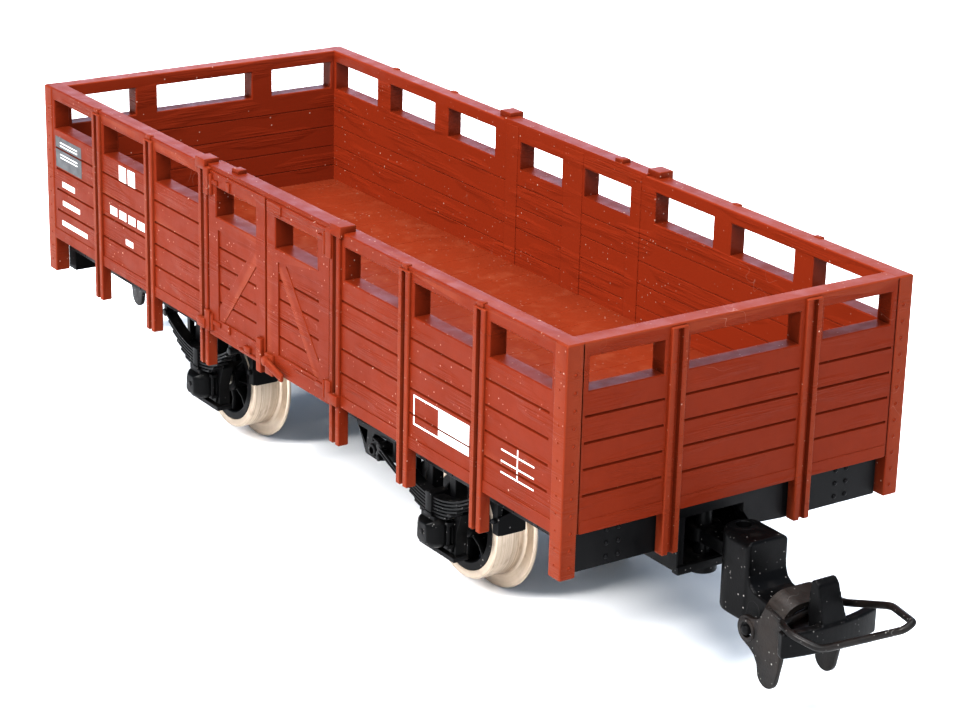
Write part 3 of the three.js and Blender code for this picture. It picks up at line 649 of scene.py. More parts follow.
def seam(axis, start, end, face, z, outward):
    """A V-groove between two boards: its outline is across the face, outward is -1 or +1."""
    mouth = face + outward * 0.1
    root = face - outward * SEAM_DEPTH
    grow = SEAM_WIDTH / 2 * (1 + 0.1 / SEAM_DEPTH)
    return prism([(mouth, z - grow), (mouth, z + grow), (root, z)], axis, start, end, 0)


def faint_seam(axis, start, end, face, z, inward, depth=0.07):
    """A shallow line on an inner face."""
    mouth = face + inward * 0.1
    root = face - inward * depth
    return prism([(mouth, z - 0.14), (mouth, z + 0.14), (root, z)], axis, start, end, 0)


def window(axis, start, end, bottom, top, outer, inner):
    """A cutter through a wall, a little wider at both faces so that the rims are eased."""
    ease = 0.07
    direction = 1 if inner > outer else -1
    stations = [
        (outer - direction, ease), (outer, ease), (outer + direction * ease, 0),
        (inner - direction * ease, 0), (inner, ease), (inner + direction, ease),
    ]
    sections = []
    for along, grow in stations:
        a0, a1, b0, b1 = start - grow, end + grow, bottom - grow, top + grow
        sections.append([on_axis(axis, along, a, b) for a, b in ((a0, b0), (a1, b0), (a1, b1), (a0, b1))])
    return loft(sections)


def side_bays():
    """(start, end) of each planked bay between posts, from the rear to the front of one side."""
    edges = [*POSTS, END - CORNER + POST_HALF]
    spans = [(a + POST_HALF, b - POST_HALF) for a, b in zip(edges, edges[1:])]
    return [(-b, -a) for a, b in reversed(spans)] + spans


def channel_post(x):
    """A moulded channel-iron post on the -Y side: solid here, its channel is cut later."""
    face = SIDE_LOW.y
    return block(x - POST_HALF, x + POST_HALF, face, face + 0.8, LEG, POST_TOP, 0.09, 3)


def channel_cut(x):
    face = SIDE_LOW.y
    return block(x - CHANNEL_HALF, x + CHANNEL_HALF, face - 1, face + 0.36, LEG - 1, POST_TOP - 0.1, 0.06)


def door_frame(leaf, planks):
    """Stiles and rails of one door leaf, as overlapping bars proud of the planks."""
    stiles = ((leaf[0], planks[0]), (planks[1], leaf[1]))
    rails = ((DOOR_BOTTOM, DOOR_PLANKS[0]), (DOOR_PLANKS[1], DOOR_WINDOW[0]), (DOOR_WINDOW[1], DOOR_TOP))
    bars = [(*stile, DOOR_BOTTOM, DOOR_TOP) for stile in stiles] + [(*leaf, *rail) for rail in rails]
    return [block(x0, x1, DOOR_FACE, FACE + 0.3, z0, z1, 0.035) for x0, x1, z0, z1 in bars]


def door_fittings():
    """Hinge plates, clasps, latch plates, lever and the small brackets of the double door."""
    out, root = DOOR_FACE, FACE + 0.2
    parts = []
    for s in (-1, 1):
        parts += [
            block(s * 8.05, s * 8.78, out - 0.2, root, 22.35, 24.35, 0.07),
            rod("z", 22.45, 24.0, 0.17, s * 7.82, out - 0.03, 16, 0.05),
            block(s * 8.05, s * 8.78, out - 0.2, root, 12.2, 13.75, 0.07),
            rod("z", 12.35, 13.6, 0.16, s * 7.8, out - 0.03, 16, 0.05),
            block(s * 6.6, s * 8.6, out - 0.1, root, 12.85, 13.2),
            block(s * 6.9, s * 8.6, out - 0.1, root, 23.3, 23.65),
            block(s * 8.55, s * 9.95, FACE - 0.3, FACE + 0.95, 24.05, TOP + 0.45, 0.1),
            block(s * 8.6, s * 9.75, FACE - 0.42, FACE + 0.1, 12.25, 13.0, 0.07),
        ]
    return parts + [
        block(-5.95, -5.0, FACE + 0.45, FACE + 1.2, TOP - 0.2, TOP + 0.42, 0.1),
        block(0.12, 2.0, out - 0.08, root, 23.4, DOOR_TOP - 0.05, 0.04),
        block(-5.6, -5.1, out - 0.1, root, 23.25, 23.95),
        # latch plates either side of the gap, a pivot boss and the slanting lever
        block(-1.15, -0.46, out - 0.28, root, 11.45, 13.95, 0.08),
        block(-0.02, 1.05, out - 0.22, root, 11.6, 13.15, 0.1),
        rod("y", out - 0.52, out + 0.1, 0.36, 0.32, 12.62, 20, 0.08),
        beam((0.3, out - 0.36, 12.66), (2.75, out - 0.36, 12.06), 0.3, 0.62, 0.13),
        block(-3.9, -1.0, out - 0.12, root, 12.0, 12.28, 0.06),
        block(-3.05, -2.2, out - 0.2, root, 12.3, 12.72, 0.08),
        rod("z", 12.75, 13.3, 0.14, -5.3, out - 0.02, 14, 0.05),
        block(3.9, 7.2, out - 0.06, root, 12.98, 13.1, 0.03),
    ]


def rivet_column(x, y, axis, bottom, top, radius=RIVET_RADIUS):
    count = int((top - bottom) / RIVET_PITCH) + 1
    return [dome(x, y, bottom + i * RIVET_PITCH, radius, axis) for i in range(count)]


def side_wall():
    """One long side in its -Y place, as one moulded body."""
    bays = side_bays()
    seams = []
    for start, end in bays:
        first = start + (0.45 if start < -END + 2 else 0.02)
        last = end - (0.45 if end > END - 2 else 0.22)
        seams += [seam("x", first, last, FACE, z, -1) for z in SEAMS]
    for _, planks, _, _ in DOORS:
        seams += [seam("x", planks[0] - 0.1, planks[1] + 0.1, FACE, z, -1) for z in DOOR_SEAMS]
    seams += [faint_seam("x", -END + 1.4, END - 1.4, INNER, z, 1) for z in SEAMS]
    adds = [
        fuse([block(-END, END, FACE, INNER, SILL, TOP, 0.1, 3)], seams),
        block(-END + 0.05, END - 0.05, FACE - 0.06, FACE + 0.4, SILL, STRIP_TOP, 0.04),
    ]
    for s in (-1, 1):
        x0, x1 = s * (END - CORNER), s * (END + 0.03)
        adds.append(block(x0, x1, FACE - 0.07, FACE + 1.1, LEG, TOP - 0.03, 0.1, 3))
        adds += [channel_post(s * x) for x in POSTS]
        for x in POSTS[1:]:
            adds.append(block(s * x - 0.4, s * x + 0.3, FACE - 0.1, FACE + 0.3, 24.1, TOP + 0.08, 0.08))
    for leaf, planks, _, _ in DOORS:
        adds += door_frame(leaf, planks)
    adds += [prism(brace, "y", FACE - 0.055, FACE + 0.2, 0.03) for *_, brace in DOORS]
    adds.append(block(-8.9, 8.9, FACE + 0.02, INNER, TOP - 0.3, TOP + 0.14))
    for start, end in ((-8.4, -6.9), (-1.4, 0.9), (6.9, 8.4)):
        adds.append(block(start, end, INNER - 0.3, INNER + 0.07, DECK - 0.2, TOP - 0.2, 0.04))

    cuts = [channel_cut(s * x) for x in POSTS for s in (-1, 1)]
    reach = END - CORNER - WINDOW_MARGIN
    for start, end in bays:
        low, high = max(start + WINDOW_MARGIN, -reach), min(end - WINDOW_MARGIN, reach)
        cuts.append(window("y", low, high, WINDOW_BOTTOM, WINDOW_TOP, FACE, INNER))
    cuts += [window("y", *span, *DOOR_WINDOW, DOOR_FACE, INNER + 0.07) for _, _, span, _ in DOORS]

    rivets = []
    for s in (-1, 1):
        for x in POSTS:
            rivets += rivet_column(s * x, SIDE_LOW.y + 0.36, "y", LEG + 0.6, POST_TOP - 0.8, 0.09)
        rivets += rivet_column(s * (END - 0.62), FACE - 0.07, "y", LEG + 0.9, TOP - 1.2, 0.08)
        rivets += rivet_column(s * (END + 0.03), FACE + 0.62, "x", LEG + 0.75, TOP - 1.2)
    return together([fuse([fuse(adds, cuts), *door_fittings()]), *rivets])


def end_wall():
    """The +X end wall, as one moulded body."""
    half = -INNER + 0.02
    lap = 0.25                     # the wall's ends run into the side walls
    near, far = END_POST - POST_HALF, END_POST + POST_HALF
    seams = []
    for start, end in ((-half, -far), (-near, near), (far, half)):
        first = start + (0.04 if start > -half else 0.1)
        last = end - (0.2 if end < half else 0.1)
        seams += [seam("y", first, last, END, z, 1) for z in SEAMS]
    seams += [faint_seam("y", -half + 0.1, half - 0.1, END_INNER, z, -1) for z in SEAMS]
    adds = [
        fuse([block(END_INNER, END, -half - lap, half + lap, SILL, TOP - 0.01, 0.1, 3)], seams),
        block(END - 0.4, END + 0.05, -half, half, SILL, STRIP_TOP, 0.04),
    ]
    cuts, rivets = [], []
    face = END_HIGH.x
    for y in (-END_POST, END_POST):
        y0, y1 = y - CHANNEL_HALF, y + CHANNEL_HALF
        adds.append(block(face - 0.8, face, y - POST_HALF, y + POST_HALF, LEG, POST_TOP + 0.1, 0.09, 3))
        cuts.append(block(face - 0.36, face + 1, y0, y1, LEG - 1, POST_TOP, 0.06))
        rivets += rivet_column(face - 0.36, y, "x", LEG + 0.6, POST_TOP - 0.8, 0.1)
        rivets += rivet_column(face - 0.02, y + POST_HALF - 0.22, "x", LEG + 1.0, POST_TOP - 0.8, 0.07)
    near, far, edge = near - WINDOW_MARGIN, far + WINDOW_MARGIN, half - 0.35
    for a, b in ((-edge, -far), (-near, near), (far, edge)):
        cuts.append(window("x", a, b, WINDOW_BOTTOM + 0.1, WINDOW_TOP, END, END_INNER))
    return together([fuse(adds, cuts), *rivets])


def load_floor():
    """The floor inside: one sheet with faint cross lines between its boards."""
    pitch = 2.8
    grooves = []
    for i in range(int(2 * (END - 2) / pitch)):
        x = -END + 2.6 + i * pitch
        section = [(x - 0.1, DECK + 0.1), (x + 0.1, DECK + 0.1), (x, DECK - 0.05)]
        grooves.append(prism(section, "y", INNER - 0.2, -INNER + 0.2, 0))
    slab = block(-END_INNER - 0.03, END_INNER + 0.03, INNER - 0.03, -INNER + 0.03, SILL, DECK, 0)
    return fuse([slab], grooves)


# ---- printed marks

PRINT = 0.012                      # how far the ink stands on the boards


def mark(x0, x1, z0, z1):
    """A flat printed patch on the -Y boards, parted where it crosses a seam."""
    half = 0.07
    bottom = z0
    patches = []
    for z in [*SEAMS, z1 + half]:
        if z < z0:
            continue
        top = min(z - half, z1)
        if top > bottom:
            patches.append(block(x0, x1, FACE - PRINT, FACE + 0.03, bottom, top, 0))
        bottom = max(bottom, z + half)
        if bottom >= z1:
            break
    return patches


def frame_mark(x0, x1, z0, z1, line):
    return (
        mark(x0, x1, z0, z0 + line) + mark(x0, x1, z1 - line, z1)
        + mark(x0, x0 + line, z0 + line, z1 - line) + mark(x1 - line, x1, z0 + line, z1 - line)
    )


def white_marks():
    """Generic stand-ins for the printed data: a framed box, a ladder of lines and plain bars."""
    line = 0.13
    marks = frame_mark(18.6, 25.0, 14.0, 16.05, line)
    marks += mark(21.5, 25.0 - line, 14.0 + line, 16.05 - line)
    for z in (15.73, 14.99, 14.25):
        marks += mark(28.5, 32.0, z - 0.055, z + 0.055)
    marks += mark(30.19, 30.3, 14.32, 16.25)
    for x in (-22.5, -21.05):
        marks += mark(x, x + 1.15, 19.75, 20.95)
    for i in range(4):
        marks += mark(-24.1 + 1.5 * i, -22.95 + 1.5 * i, 16.75, 17.4)
    for bar in ((-21.6, -20.4, 14.95, 15.4), (-32.4, -30.2, 16.7, 17.15),
                (-32.4, -29.4, 15.2, 15.6), (-32.6, -28.2, 13.55, 13.95)):
        marks += mark(*bar)
    return marks


def fine_marks():
    """Thin pale lines on the grey panel."""
    return [block(-32.6, -29.6, FACE - 0.02, FACE, z, z + 0.09, 0) for z in (20.2, 19.95, 19.25, 19.0)]


def make_body():
    side, end = side_wall(), end_wall()
    prints = (("white_marks", white_marks(), WHITE), ("grey_panel", mark(-33.4, -28.9, 18.2, 20.65), GREY),
              ("panel_lines", fine_marks(), WHITE))
    for turn, name in ((False, "right"), (True, "left")):
        cover(f"side_wall_{name}", "moulding", side, RED, "body_plastic", turn=turn)
        for title, marks, material in prints:
            piece(f"{title}_{name}", together(marks), material, "wagon", turn=turn)
    for turn, name in ((False, "front"), (True, "rear")):
        cover(f"end_wall_{name}", "moulding", end, RED, "body_plastic", turn=turn)
    cover("load_floor", "boards", load_floor(), RED, "body_plastic")


# ---- underframe and running gear

def underframe():
    """Tray, solebars over the wheels, end beams, centre sills and cross bearers, as one moulding."""
    beam_x, solebar, top = UNDER_HIGH
    tray = top - 0.95
    bottom, solebar_bottom = 10.85, 11.12
    parts = [block(-beam_x + 0.6, beam_x - 0.6, -solebar, solebar, tray, top)]
    rivets = []
    for side in (-1, 1):
        y0, y1 = side * solebar, side * (solebar - 0.75)
        for end in (-1, 1):
            parts.append(block(end * 15.6, end * (beam_x - 0.6), y0, y1, solebar_bottom, top))
            parts.append(block(end * 9.2, end * 28.5, side * 2.4, side * 3.1, bottom, tray + 0.1))
            for x in (18.5, 21.55, 24.6, 28.4, 31.0):
                rivets.append(dome(end * x, y0, solebar_bottom + 0.16, 0.08, "y"))
    for x in (-27.5, -23.4, 23.4, 27.5):
        parts.append(block(x - 0.35, x + 0.35, -solebar + 0.4, solebar - 0.4, bottom, tray + 0.1))
    for end in (-1, 1):
        face, back = end * beam_x, end * (beam_x - 1.2)
        for side in (-1, 1):
            parts.append(block(face, back, side * 4.2, side * 12.1, LEG, top, 0.07))
            for column in (8.65, 9.55):
                rivets += [dome(face, side * column, row, 0.17, "x", 0.7) for row in (9.95, 10.85, 11.75)]
        parts.append(block(face, back, -4.3, 4.3, tray - 0.05, top, 0.07))
        tongue = [(1.1, 11.3), (1.1, 10.6), (1.85, 9.55), (4.3, 9.4), (4.3, 11.3)]
        parts.append(prism([(end * y, z) for y, z in tongue], "x", face, back, 0.07))
    return together([fuse(parts), *rivets])


BOX_TOP = 6.1                      # of the axle box
PLATE_BACK = GUARD_HIGH.y
PLATE_FRONT = PLATE_BACK - 0.7
SPRING_HALF = (GUARD_HIGH.x - GUARD_LOW.x) / 2 - 0.1
LEAVES = 6
LEAF_PITCH = 0.24
LEAF_CURL = 0.066                  # a leaf's rise is this times the squared distance from its middle


def guard_plate():
    """W-shaped guard plate: two legs, a top bar and the keeper under the axle box."""
    x, top = AXLE.x, GUARD_HIGH.z
    leg = [(0.95, top), (1.7, top), (1.75, 7.5), (2.45, 6.75), (1.9, 5.2), (1.9, 3.4), (1.1, 3.4),
           (1.1, 6.6)]
    legs = [[(x + s * a, z) for a, z in leg] for s in (-1, 1)]
    return [
        *(prism(outline, "y", PLATE_FRONT - 0.2, PLATE_BACK, 0.06) for outline in legs),
        block(x - 2.5, x + 2.5, PLATE_FRONT, PLATE_BACK, top - 0.9, top, 0.06),
        block(x - 2.12, x + 2.12, PLATE_FRONT - 0.5, PLATE_BACK, 3.3, 3.64, 0.06),
    ]


def axle_box():
    """Back plate, tapered cover, bolts, and the guides beside them."""
    x, front, nose = AXLE.x, PLATE_FRONT, GUARD_LOW.y
    sections = []
    for y, half, bottom, head in (
        (front, 1.35, 4.0, 6.2), (-10.2, 1.3, 4.0, 6.15), (-10.7, 1.05, 4.1, 5.95),
        (nose - 0.12, 0.6, 4.35, 5.75),
    ):
        ease = half * 0.35
        flank = [(half - ease, bottom), (half, bottom + ease), (half * 0.92, head - 0.3), (half * 0.7, head)]
        flank += [(-a, b) for a, b in reversed(flank)]
        sections.append([Vector((x + a, y, b)) for a, b in flank])
    parts = [
        block(x - 1.6, x + 1.6, front - 0.35, front + 0.1, 3.8, 6.2, 0.08),
        loft(sections, 0.1, 3),
        block(x - 0.8, x + 0.8, -10.6, front, 5.9, 6.3, 0.08),
    ]
    for a, b in ((-1.45, 5.75), (1.45, 5.75), (1.5, 4.3), (-1.5, 4.3)):
        parts.append(rod("y", front - 0.6, front, 0.17, x + a, b, 6, 0.03))
    parts.append(rod("y", nose - 0.18, nose + 0.3, 0.2, x, 5.1, 6, 0.03))
    for s in (-1, 1):
        parts.append(rod("z", 4.3, 6.0, 0.15, x + s * 1.5, front - 0.55, 14, 0.04))
        for z0, z1 in ((4.2, 4.45), (5.85, 6.1)):
            parts.append(block(x + s * 1.32, x + s * 1.72, front - 0.75, front, z0, z1, 0.04))
    return parts


def leaf(half_length, z, front, back):
    """One curved spring leaf, ends turned up."""
    steps, thick = 14, 0.185
    places = [-half_length + 2 * half_length * i / steps for i in range(steps + 1)]
    lower = [(AXLE.x + x, z + LEAF_CURL * x * x) for x in places]
    upper = [(AXLE.x + x, z + thick + LEAF_CURL * x * x) for x in reversed(places)]
    return prism(lower + upper, "y", front, back, 0.03, 1)


def leaf_spring():
    """The leaves, a core that fills between them, the buckle, and the end eyes and shackles."""
    x, top = AXLE.x, GUARD_HIGH.z
    front, back = -10.42, -9.5
    base = BOX_TOP + 0.12
    deep = LEAVES * LEAF_PITCH - 0.08
    lower = [(x + a, base + LEAF_CURL * a * a) for a in (-2, -1, 0, 1, 2)]
    upper = [(x + a, base + deep + LEAF_CURL * a * a) for a in (3.6, 1.8, 0, -1.8, -3.6)]
    halves = [SPRING_HALF - (LEAVES - 1 - i) * 0.66 for i in range(LEAVES)]
    parts = [leaf(half, base + i * LEAF_PITCH, front, back) for i, half in enumerate(halves)]
    parts += [
        prism(lower + upper, "y", front + 0.12, back - 0.05, 0.0),
        block(x - 0.36, x + 0.36, -10.56, PLATE_FRONT + 0.2, 6.05, base + deep + 0.25, 0.04),
        block(x - 0.46, x + 0.46, -10.62, -9.9, 6.2, 6.45, 0.04),
    ]
    eye = base + (LEAVES - 1) * LEAF_PITCH + LEAF_CURL * SPRING_HALF ** 2 - 0.05
    for s in (-1, 1):
        end = x + s * (SPRING_HALF - 0.12)
        parts += [
            rod("y", front - 0.06, back, 0.3, end, eye, 16, 0.05),
            block(end - 0.24, end + 0.24, front + 0.05, back, eye, top),
            block(end - 0.42, end + 0.42, front - 0.1, back + 0.1, top - 0.55, top, 0.06),
        ]
    return parts


def axle_guard():
    return fuse([*guard_plate(), *axle_box(), *leaf_spring()])


def brake_shoe():
    """Brake shoe curved to the wheel, on its hanger strap, beyond the +X side of the axle."""
    low, high = box_mm("brake_shoe_front_outer_right")
    x0, x1 = low.x, high.x
    middle = (x0 + x1) / 2
    radius = x0 - AXLE.x
    pad = arc(AXLE.x, AXLE.z, radius, 10, 45, 7) + arc(AXLE.x, AXLE.z, radius + 0.62, 45, 10, 7)
    foot = low.z
    wedge = [(low.y, foot), (high.y, foot), (high.y, foot + 0.7), (-7.2, foot + 1.6), (low.y, foot + 1.3)]
    return fuse([
        prism(wedge, "x", x0 + 0.02, x1),
        block(x0 + 0.12, x1 - 0.12, low.y, low.y + 0.42, foot, high.z),
        rod("y", low.y - 0.25, high.y, 0.2, middle, foot + 1.0, 12, 0.04),
        rod("y", low.y - 0.22, low.y + 0.6, 0.2, middle, high.z - 0.9, 12, 0.04),
        prism(pad, "y", high.y - 0.05, low.y + 0.35),
    ])


def brake_linkage():
    """Hanging bracket plate with two openings, its bearing, crank and pull rods."""
    x, z = 10.3, 8.9
    y0, y1 = -11.2, -10.6
    top = box_mm("brake_linkage_right")[1].z - z
    outline = [(-2.75, top), (-1.45, 0.3), (-1.0, -0.55), (0.6, -0.6), (1.7, -0.2), (2.75, 0), (2.75, top)]
    holes = (
        [(-1.95, 1.2), (-0.9, 0.1), (-0.75, 1.2)],
        [(-0.15, 0.85), (0.2, 1.25), (2.45, 1.3), (2.45, 0.3), (0.95, 0.2), (0.6, 0.75)],
    )
    plate = prism([(x + a, z + b) for a, b in outline], "y", y0, y1)
    openings = [prism([(x + a, z + b) for a, b in hole], "y", y0 - 1, y1 + 1, 0.04) for hole in holes]
    return fuse([
        fuse([plate], openings),
        rod("y", y0 - 0.16, y1 + 1.6, 0.46, x, z, 20, 0.05),
        rod("y", y0 - 0.42, y0 + 0.2, 0.3, x + 1.3, z + 0.75, 16, 0.05),
        beam((x + 0.75, y0 - 0.1, z - 0.1), (x + 1.3, y0 - 0.1, z + 0.75), 0.3, 0.34, 0.06),
        beam((x + 0.5, y0 - 0.3, z + 1.12), (x + 1.25, y0 - 0.3, z + 1.0), 0.16, 0.14),
        beam((x + 0.5, y0 - 0.3, z + 1.14), (x + 0.42, y0 - 0.3, z + 0.85), 0.16, 0.12),
        beam((x + 1.35, y0 - 0.36, z + 0.75), (13.95, y0 - 0.2, 8.5), 0.2, 0.17),
        beam((x + 1.15, y0 - 0.3, z + 0.45), (13.7, y0 - 0.12, 8.3), 0.2, 0.15),
        rod("y", y0 - 0.3, y0 + 0.15, 0.22, x + 1.0, z - 0.2, 14, 0.04),
    ], [rod("y", y0 - 0.4, y0 + 0.5, 0.25, x, z, 16)])


def tyre():
    """Turned tyre on the -Y side: chamfered rim, coned tread, fillet and rounded flange."""
    face, back = TYRE_LOW.y, TYRE_HIGH.y
    flange = TYRE_HIGH.z - AXLE.z
    tread, bore, crest = 3.98, 3.4, -5.28
    return turned([
        (bore, face + 0.02), (tread - 0.16, face), (tread - 0.04, face + 0.04), (tread, face + 0.16),
        (tread + 0.02, -5.9), *arc(tread + 0.26, -5.62, 0.22, 180, 90, 5), (flange - 0.14, crest - 0.15),
        *arc(flange - 0.17, crest + 0.02, 0.17, -80, 76, 6), (bore, back),
    ], 128)


def wheel_centre():
    """Black spoked centre: flat rim, curved-in hub and eight tapered spokes."""
    face, back = CENTRE_LOW.y, CENTRE_HIGH.y
    rim = turned([
        (2.78, face + 0.08), (2.86, face), (3.34, face), (3.37, face + 0.03), (3.37, back),
        (3.3, back + 0.02), (2.82, back + 0.02), (2.74, back - 0.06), (2.7, face + 0.7),
    ], 96)
    hub = turned([
        (0.7, face - 0.05), (1.0, face - 0.05), (1.12, face + 0.05), (1.2, face + 0.5), (1.2, back - 0.1),
        (1.05, back), (0.7, back),
    ], 48)
    spokes = []
    for i in range(8):
        angle = 2 * math.pi * i / 8
        outward = Vector((math.sin(angle), 0, math.cos(angle)))
        side = Vector((math.cos(angle), 0, -math.sin(angle)))
        sections = []
        for radius, half, front in ((0.95, 0.3, 0.18), (1.9, 0.2, 0.34), (2.95, 0.24, 0.24)):
            root = Vector((AXLE.x, face + front, AXLE.z)) + outward * radius
            sections.append([
                root + side * (half * a) + Vector((0, b, 0))
                for a, b in ((-0.45, 0), (0.45, 0), (1, 0.35), (0.7, 1), (-0.7, 1), (-1, 0.35))
            ])
        spokes.append(loft(sections, 0.03))
    return fuse([rim, hub, *spokes])


def axle():
    """Plain steel axle with needle journals."""
    tip = AXLE_HIGH.y
    body = 0.65
    half = [(0.01, -tip), (0.2, -tip + 0.04), (0.44, -tip + 0.35), (0.48, -tip + 0.5), (0.48, -8.05),
            (0.5, -7.84), (body - 0.06, -7.84), (body, -7.78)]
    profile = half + [(r, -y) for r, y in reversed(half)]
    return loft([[on_axis("y", y, a, b) for a, b in circle(AXLE.x, AXLE.z, r, 48)] for r, y in profile])


def ballast():
    low, high = box_mm("ballast_weight")
    return block(low.x, high.x, low.y, high.y, low.z, high.z, 0.15, 3)


def make_running_gear():
    plastic = (BLACK, "chassis_plastic")
    cover("underframe", "moulding", underframe(), *plastic)
    piece("ballast_plate", ballast(), STEEL, "wagon", ["ballast_weight"])
    guard, shoe, linkage = axle_guard(), brake_shoe(), brake_linkage()
    ring, centre, shaft = tyre(), wheel_centre(), axle()
    shoes = {"outer": shoe, "inner": flipped(shoe)}
    for end, turn in (("front", False), ("rear", True)):
        wheels = f"wheelset_{end}"
        for side in ("right", "left"):
            way = (turn, (side == "left") != turn)
            cover(f"axle_guard_{end}_{side}", "moulding", guard, *plastic, "wagon", *way)
            cover(f"tyre_{end}_{side}", "turned", ring, NICKEL, "tyre_metal", wheels, *way)
            cover(f"wheel_centre_{end}_{side}", "spoked", centre, *plastic, wheels, *way)
            for place, mesh in shoes.items():
                cover(f"brake_shoe_{end}_{place}_{side}", "moulding", mesh, *plastic, "wagon", *way)
        cover(f"axle_{end}", "turned", shaft, STEEL, "steel", wheels, turn)
    for side, mirror in (("right", False), ("left", True)):
        cover(f"brake_linkage_{side}", "moulding", linkage, *plastic, mirror=mirror)


# ---- couplers

def coupler_box():
    """Open-fronted box with rounded corners and the screw boss under it."""
    low, high = SHELL_LOW, SHELL_HIGH
    bottom, wall = 6.7, 0.5
    return fuse([
        block(low.x, high.x, low.y, high.y, bottom, high.z, 0.12, 3),
        rod("z", low.z, bottom + 0.2, 1.0, PIVOT.x, 0, 32, 0.08),
        block(high.x - 0.5, high.x + 0.15, low.y, high.y, bottom - 0.12, bottom + 0.45, 0.08),
    ], [
        block(low.x + wall, high.x + 1, low.y + wall, high.y - wall, bottom + wall, high.z + 1, 0.08),
        rod("z", low.z - 1, 8.2, 0.6, PIVOT.x, 0, 24),
    ])


def pivot_screw():
    low, high = box_mm("coupler_pivot_screw_front")
    shank = rod("z", low.z, high.z, 0.55, PIVOT.x, 0, 32, 0.06)
    slot = block(PIVOT.x - 1, PIVOT.x + 1, -0.09, 0.09, low.z - 1, low.z + 0.2, 0)
    return fuse([shank], [slot])


def coupler_arm():
    """Shank, upright block, sweeping foot, curved bumper and prong as one soft-edged moulding."""
    rear, front, half, eye = 36.4, 38.3, 1.6, 35.8
    top = ARM_HIGH.z
    plan = [(front, -half), (front, half)] + arc(rear, 0, half, 90, 270, 20)
    crown = [(-half, 4.0), (half, 4.0), *arc(half - 0.6, top - 0.6, 0.6, 0, 90, 6),
             *arc(-half + 0.45, top - 0.45, 0.45, 90, 180, 6)]
    sweep = 18
    radius = ARM_HIGH.y / math.sin(math.radians(sweep))
    centre = ARM_HIGH.x - radius
    bumper = arc(centre, 0, radius, -sweep, sweep, 16) + arc(centre, 0, radius - 0.7, sweep, -sweep, 16)
    foot = [(rear, 5.1), (37.9, 5.1), (39.4, 4.75), (43.6, 5.2), (44.6, 5.75), (44.6, 6.9),
            (42.5, 6.55), (41.2, 6.85), (40.3, 7.22), (39.5, 7.34), (38.95, 7.45), (38.55, 7.75),
            (38.35, 8.25), (38.25, 9.0), (rear, 9.0)]
    prong = [(43.4, 6.0), (44.85, 6.0), (44.75, 7.4), (44.5, 8.6), (44.2, 9.85), (43.9, 10.1), (43.6, 10.0),
             (43.45, 9.2), (43.3, 8.0)]
    taper = [(-0.85, 5.9), (1.1, 5.9), (1.0, 7.0), (0.7, 8.6), (0.48, 10.4), (-1.12, 10.4), (-1.0, 8.0)]
    rounded = prism(crown, "x", rear - 3, front + 1, 0)
    upright = operate(prism(plan, "z", 5.1, top, 0.2, 3), "INTERSECT", [rounded])
    spike = operate(prism(prong, "y", -1.3, 1.3, 0.1), "INTERSECT", [prism(taper, "x", 42, 46, 0)])
    return soften(fuse([
        upright,
        rod("z", 8.2, 9.2, 1.15, PIVOT.x, 0, 32),
        block(PIVOT.x, rear, -0.85, 0.85, 8.2, 9.2, 0.08),
        prism(foot, "y", -1.55, 1.55, 0.1),
        prism(bumper, "z", 5.7, 7.35, 0.1, 3),
        spike,
        rod("z", top - 0.4, top + 0.06, 0.8, eye, 0, 32, 0.05),
    ], [
        rod("z", 7.2, 10.2, 0.65, PIVOT.x, 0, 32),
        rod("z", top - 1.2, top + 1, 0.52, eye, 0, 32),
        rod("y", -5, 5, 0.36, HINGE.x, HINGE.z, 24),
    ]), 0.07, 3)


def loop_pin():
    """The moulded stub the bracket hangs on, with rounded ends."""
    low, high = box_mm("loop_pin_front")
    return rod("y", low.y - 0.1, high.y + 0.1, 0.33, HINGE.x, HINGE.z, 24, 0.12)


def loop_bracket():
    """Bent sheet bracket: ringed cheeks with hanging legs, joined by an arched strap."""
    cheek, sheet = BRACKET_HIGH.y, 0.35
    outline = [
        *arc(HINGE.x, HINGE.z, 0.92, 75, 250, 16), (39.9, 4.35), (40.35, 4.05), (40.66, 3.55),
        *arc(41.6, 3.2, 0.87, 185, 345, 16), (42.65, 3.9), (42.8, 4.6), (42.78, 6.9), (42.5, 7.3),
        (41.2, 7.6), (40.95, 7.2), (40.7, 6.65), (40.3, 6.45),
    ]
    parts = []
    for s in (-1, 1):
        parts.append(prism(outline, "y", s * cheek, s * (cheek - sheet), 0.07))
        parts.append(rod("y", s * (cheek + 0.07), s * (cheek - 0.3), 0.74, HINGE.x, HINGE.z, 28, 0.06))
    # the strap is an arch across the wagon, its crown falling a little towards the front
    bend = 1.7
    sections = []
    for x, crown in ((40.95, 8.36), (42.55, 7.98)):
        arch = []
        for reach, radius, way in ((cheek, bend, 1), (cheek - sheet, bend - sheet, -1)):
            side = [(-reach, 6.3), *arc(-cheek + bend, crown - bend, radius, 180, 90, 8)]
            side += [*arc(cheek - bend, crown - bend, radius, 90, 0, 8), (reach, 6.3)]
            arch += side[::way]
        sections.append([Vector((x, a, b)) for a, b in arch])
    parts.append(loft(sections, 0.06))
    return fuse(parts, [rod("y", -5, 5, 0.5, HINGE.x, HINGE.z, 24)])


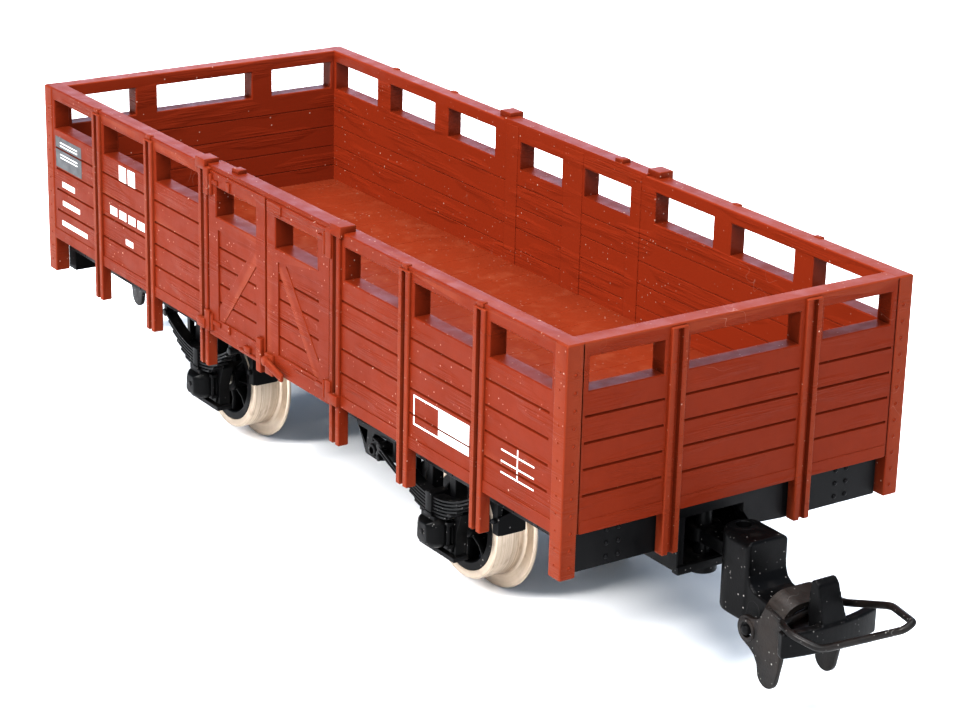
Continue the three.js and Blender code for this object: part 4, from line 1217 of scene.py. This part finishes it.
LOOP_CORNERS = [
    (42.3, 0.25, 7.3), (42.6, -2.2, 7.0), (43.4, -3.05, 7.5), (44.7, -3.5, 7.5), (46.6, -2.75, 7.1),
    (51.05, -0.5, 9.65), (51.15, 0.15, 10.0), (47.6, 1.75, 9.25), (43.6, 1.75, 7.85), (42.3, 2.1, 7.5),
]
LOOP_BENDS = (0.8, 0.5, 0.7, 0.6, 0.3, 0.3, 0.6, 0.4)
WIRE_RADIUS = 0.235


def bent_route(corners, bends):
    """Points along straight runs, each corner rounded with a curve that starts its bend away."""
    route = [Vector(corners[0])]
    for before, corner, after, bend in zip(corners, corners[1:], corners[2:], bends):
        corner = Vector(corner)
        start = corner + (Vector(before) - corner).normalized() * bend
        end = corner + (Vector(after) - corner).normalized() * bend
        for i in range(7):
            t = i / 6
            route.append((1 - t) ** 2 * start + 2 * t * (1 - t) * corner + t * t * end)
    return [*route, Vector(corners[-1])]


def loop_wire(end, turn):
    """The bent wire loop, as a curve with round section."""
    node = f"loop_wire_{end}"
    data = bpy.data.curves.new(f"{node}_bent", "CURVE")
    data.dimensions = "3D"
    data.bevel_depth = WIRE_RADIUS * MM
    data.bevel_resolution = 6
    data.use_fill_caps = True
    route = bent_route(LOOP_CORNERS, LOOP_BENDS)
    spline = data.splines.new("POLY")
    spline.points.add(len(route) - 1)
    for point, place in zip(spline.points, route):
        spot = place * MM
        point.co = (*(TURN @ spot if turn else spot), 1)
    spline.use_smooth = True
    data.materials.append(BLACKENED)
    wire = placed(f"{node}_bent", data)
    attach(wire, f"loop_{end}")
    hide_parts(node)


def make_couplers():
    shell, screw, arm, pin, bracket = coupler_box(), pivot_screw(), coupler_arm(), loop_pin(), loop_bracket()
    for end, turn in (("front", False), ("rear", True)):
        coupler, loop = f"coupler_{end}", f"loop_{end}"
        cover(f"coupler_box_{end}", "moulding", shell, BLACK, "chassis_plastic", turn=turn)
        piece(f"pivot_screw_{end}", screw, BLACK, "wagon", [f"coupler_pivot_screw_{end}"], turn)
        cover(f"coupler_arm_{end}", "moulding", arm, BLACK, "chassis_plastic", coupler, turn, smooth=60)
        piece(f"hinge_pin_{end}", pin, BLACK, coupler, [f"loop_pin_{end}"], turn)
        cover(f"loop_bracket_{end}", "sheet", bracket, BLACKENED, "loop_metal", loop, turn)
        loop_wire(end, turn)


make_body()
make_running_gear()
make_couplers()

bpy.context.view_layer.update()
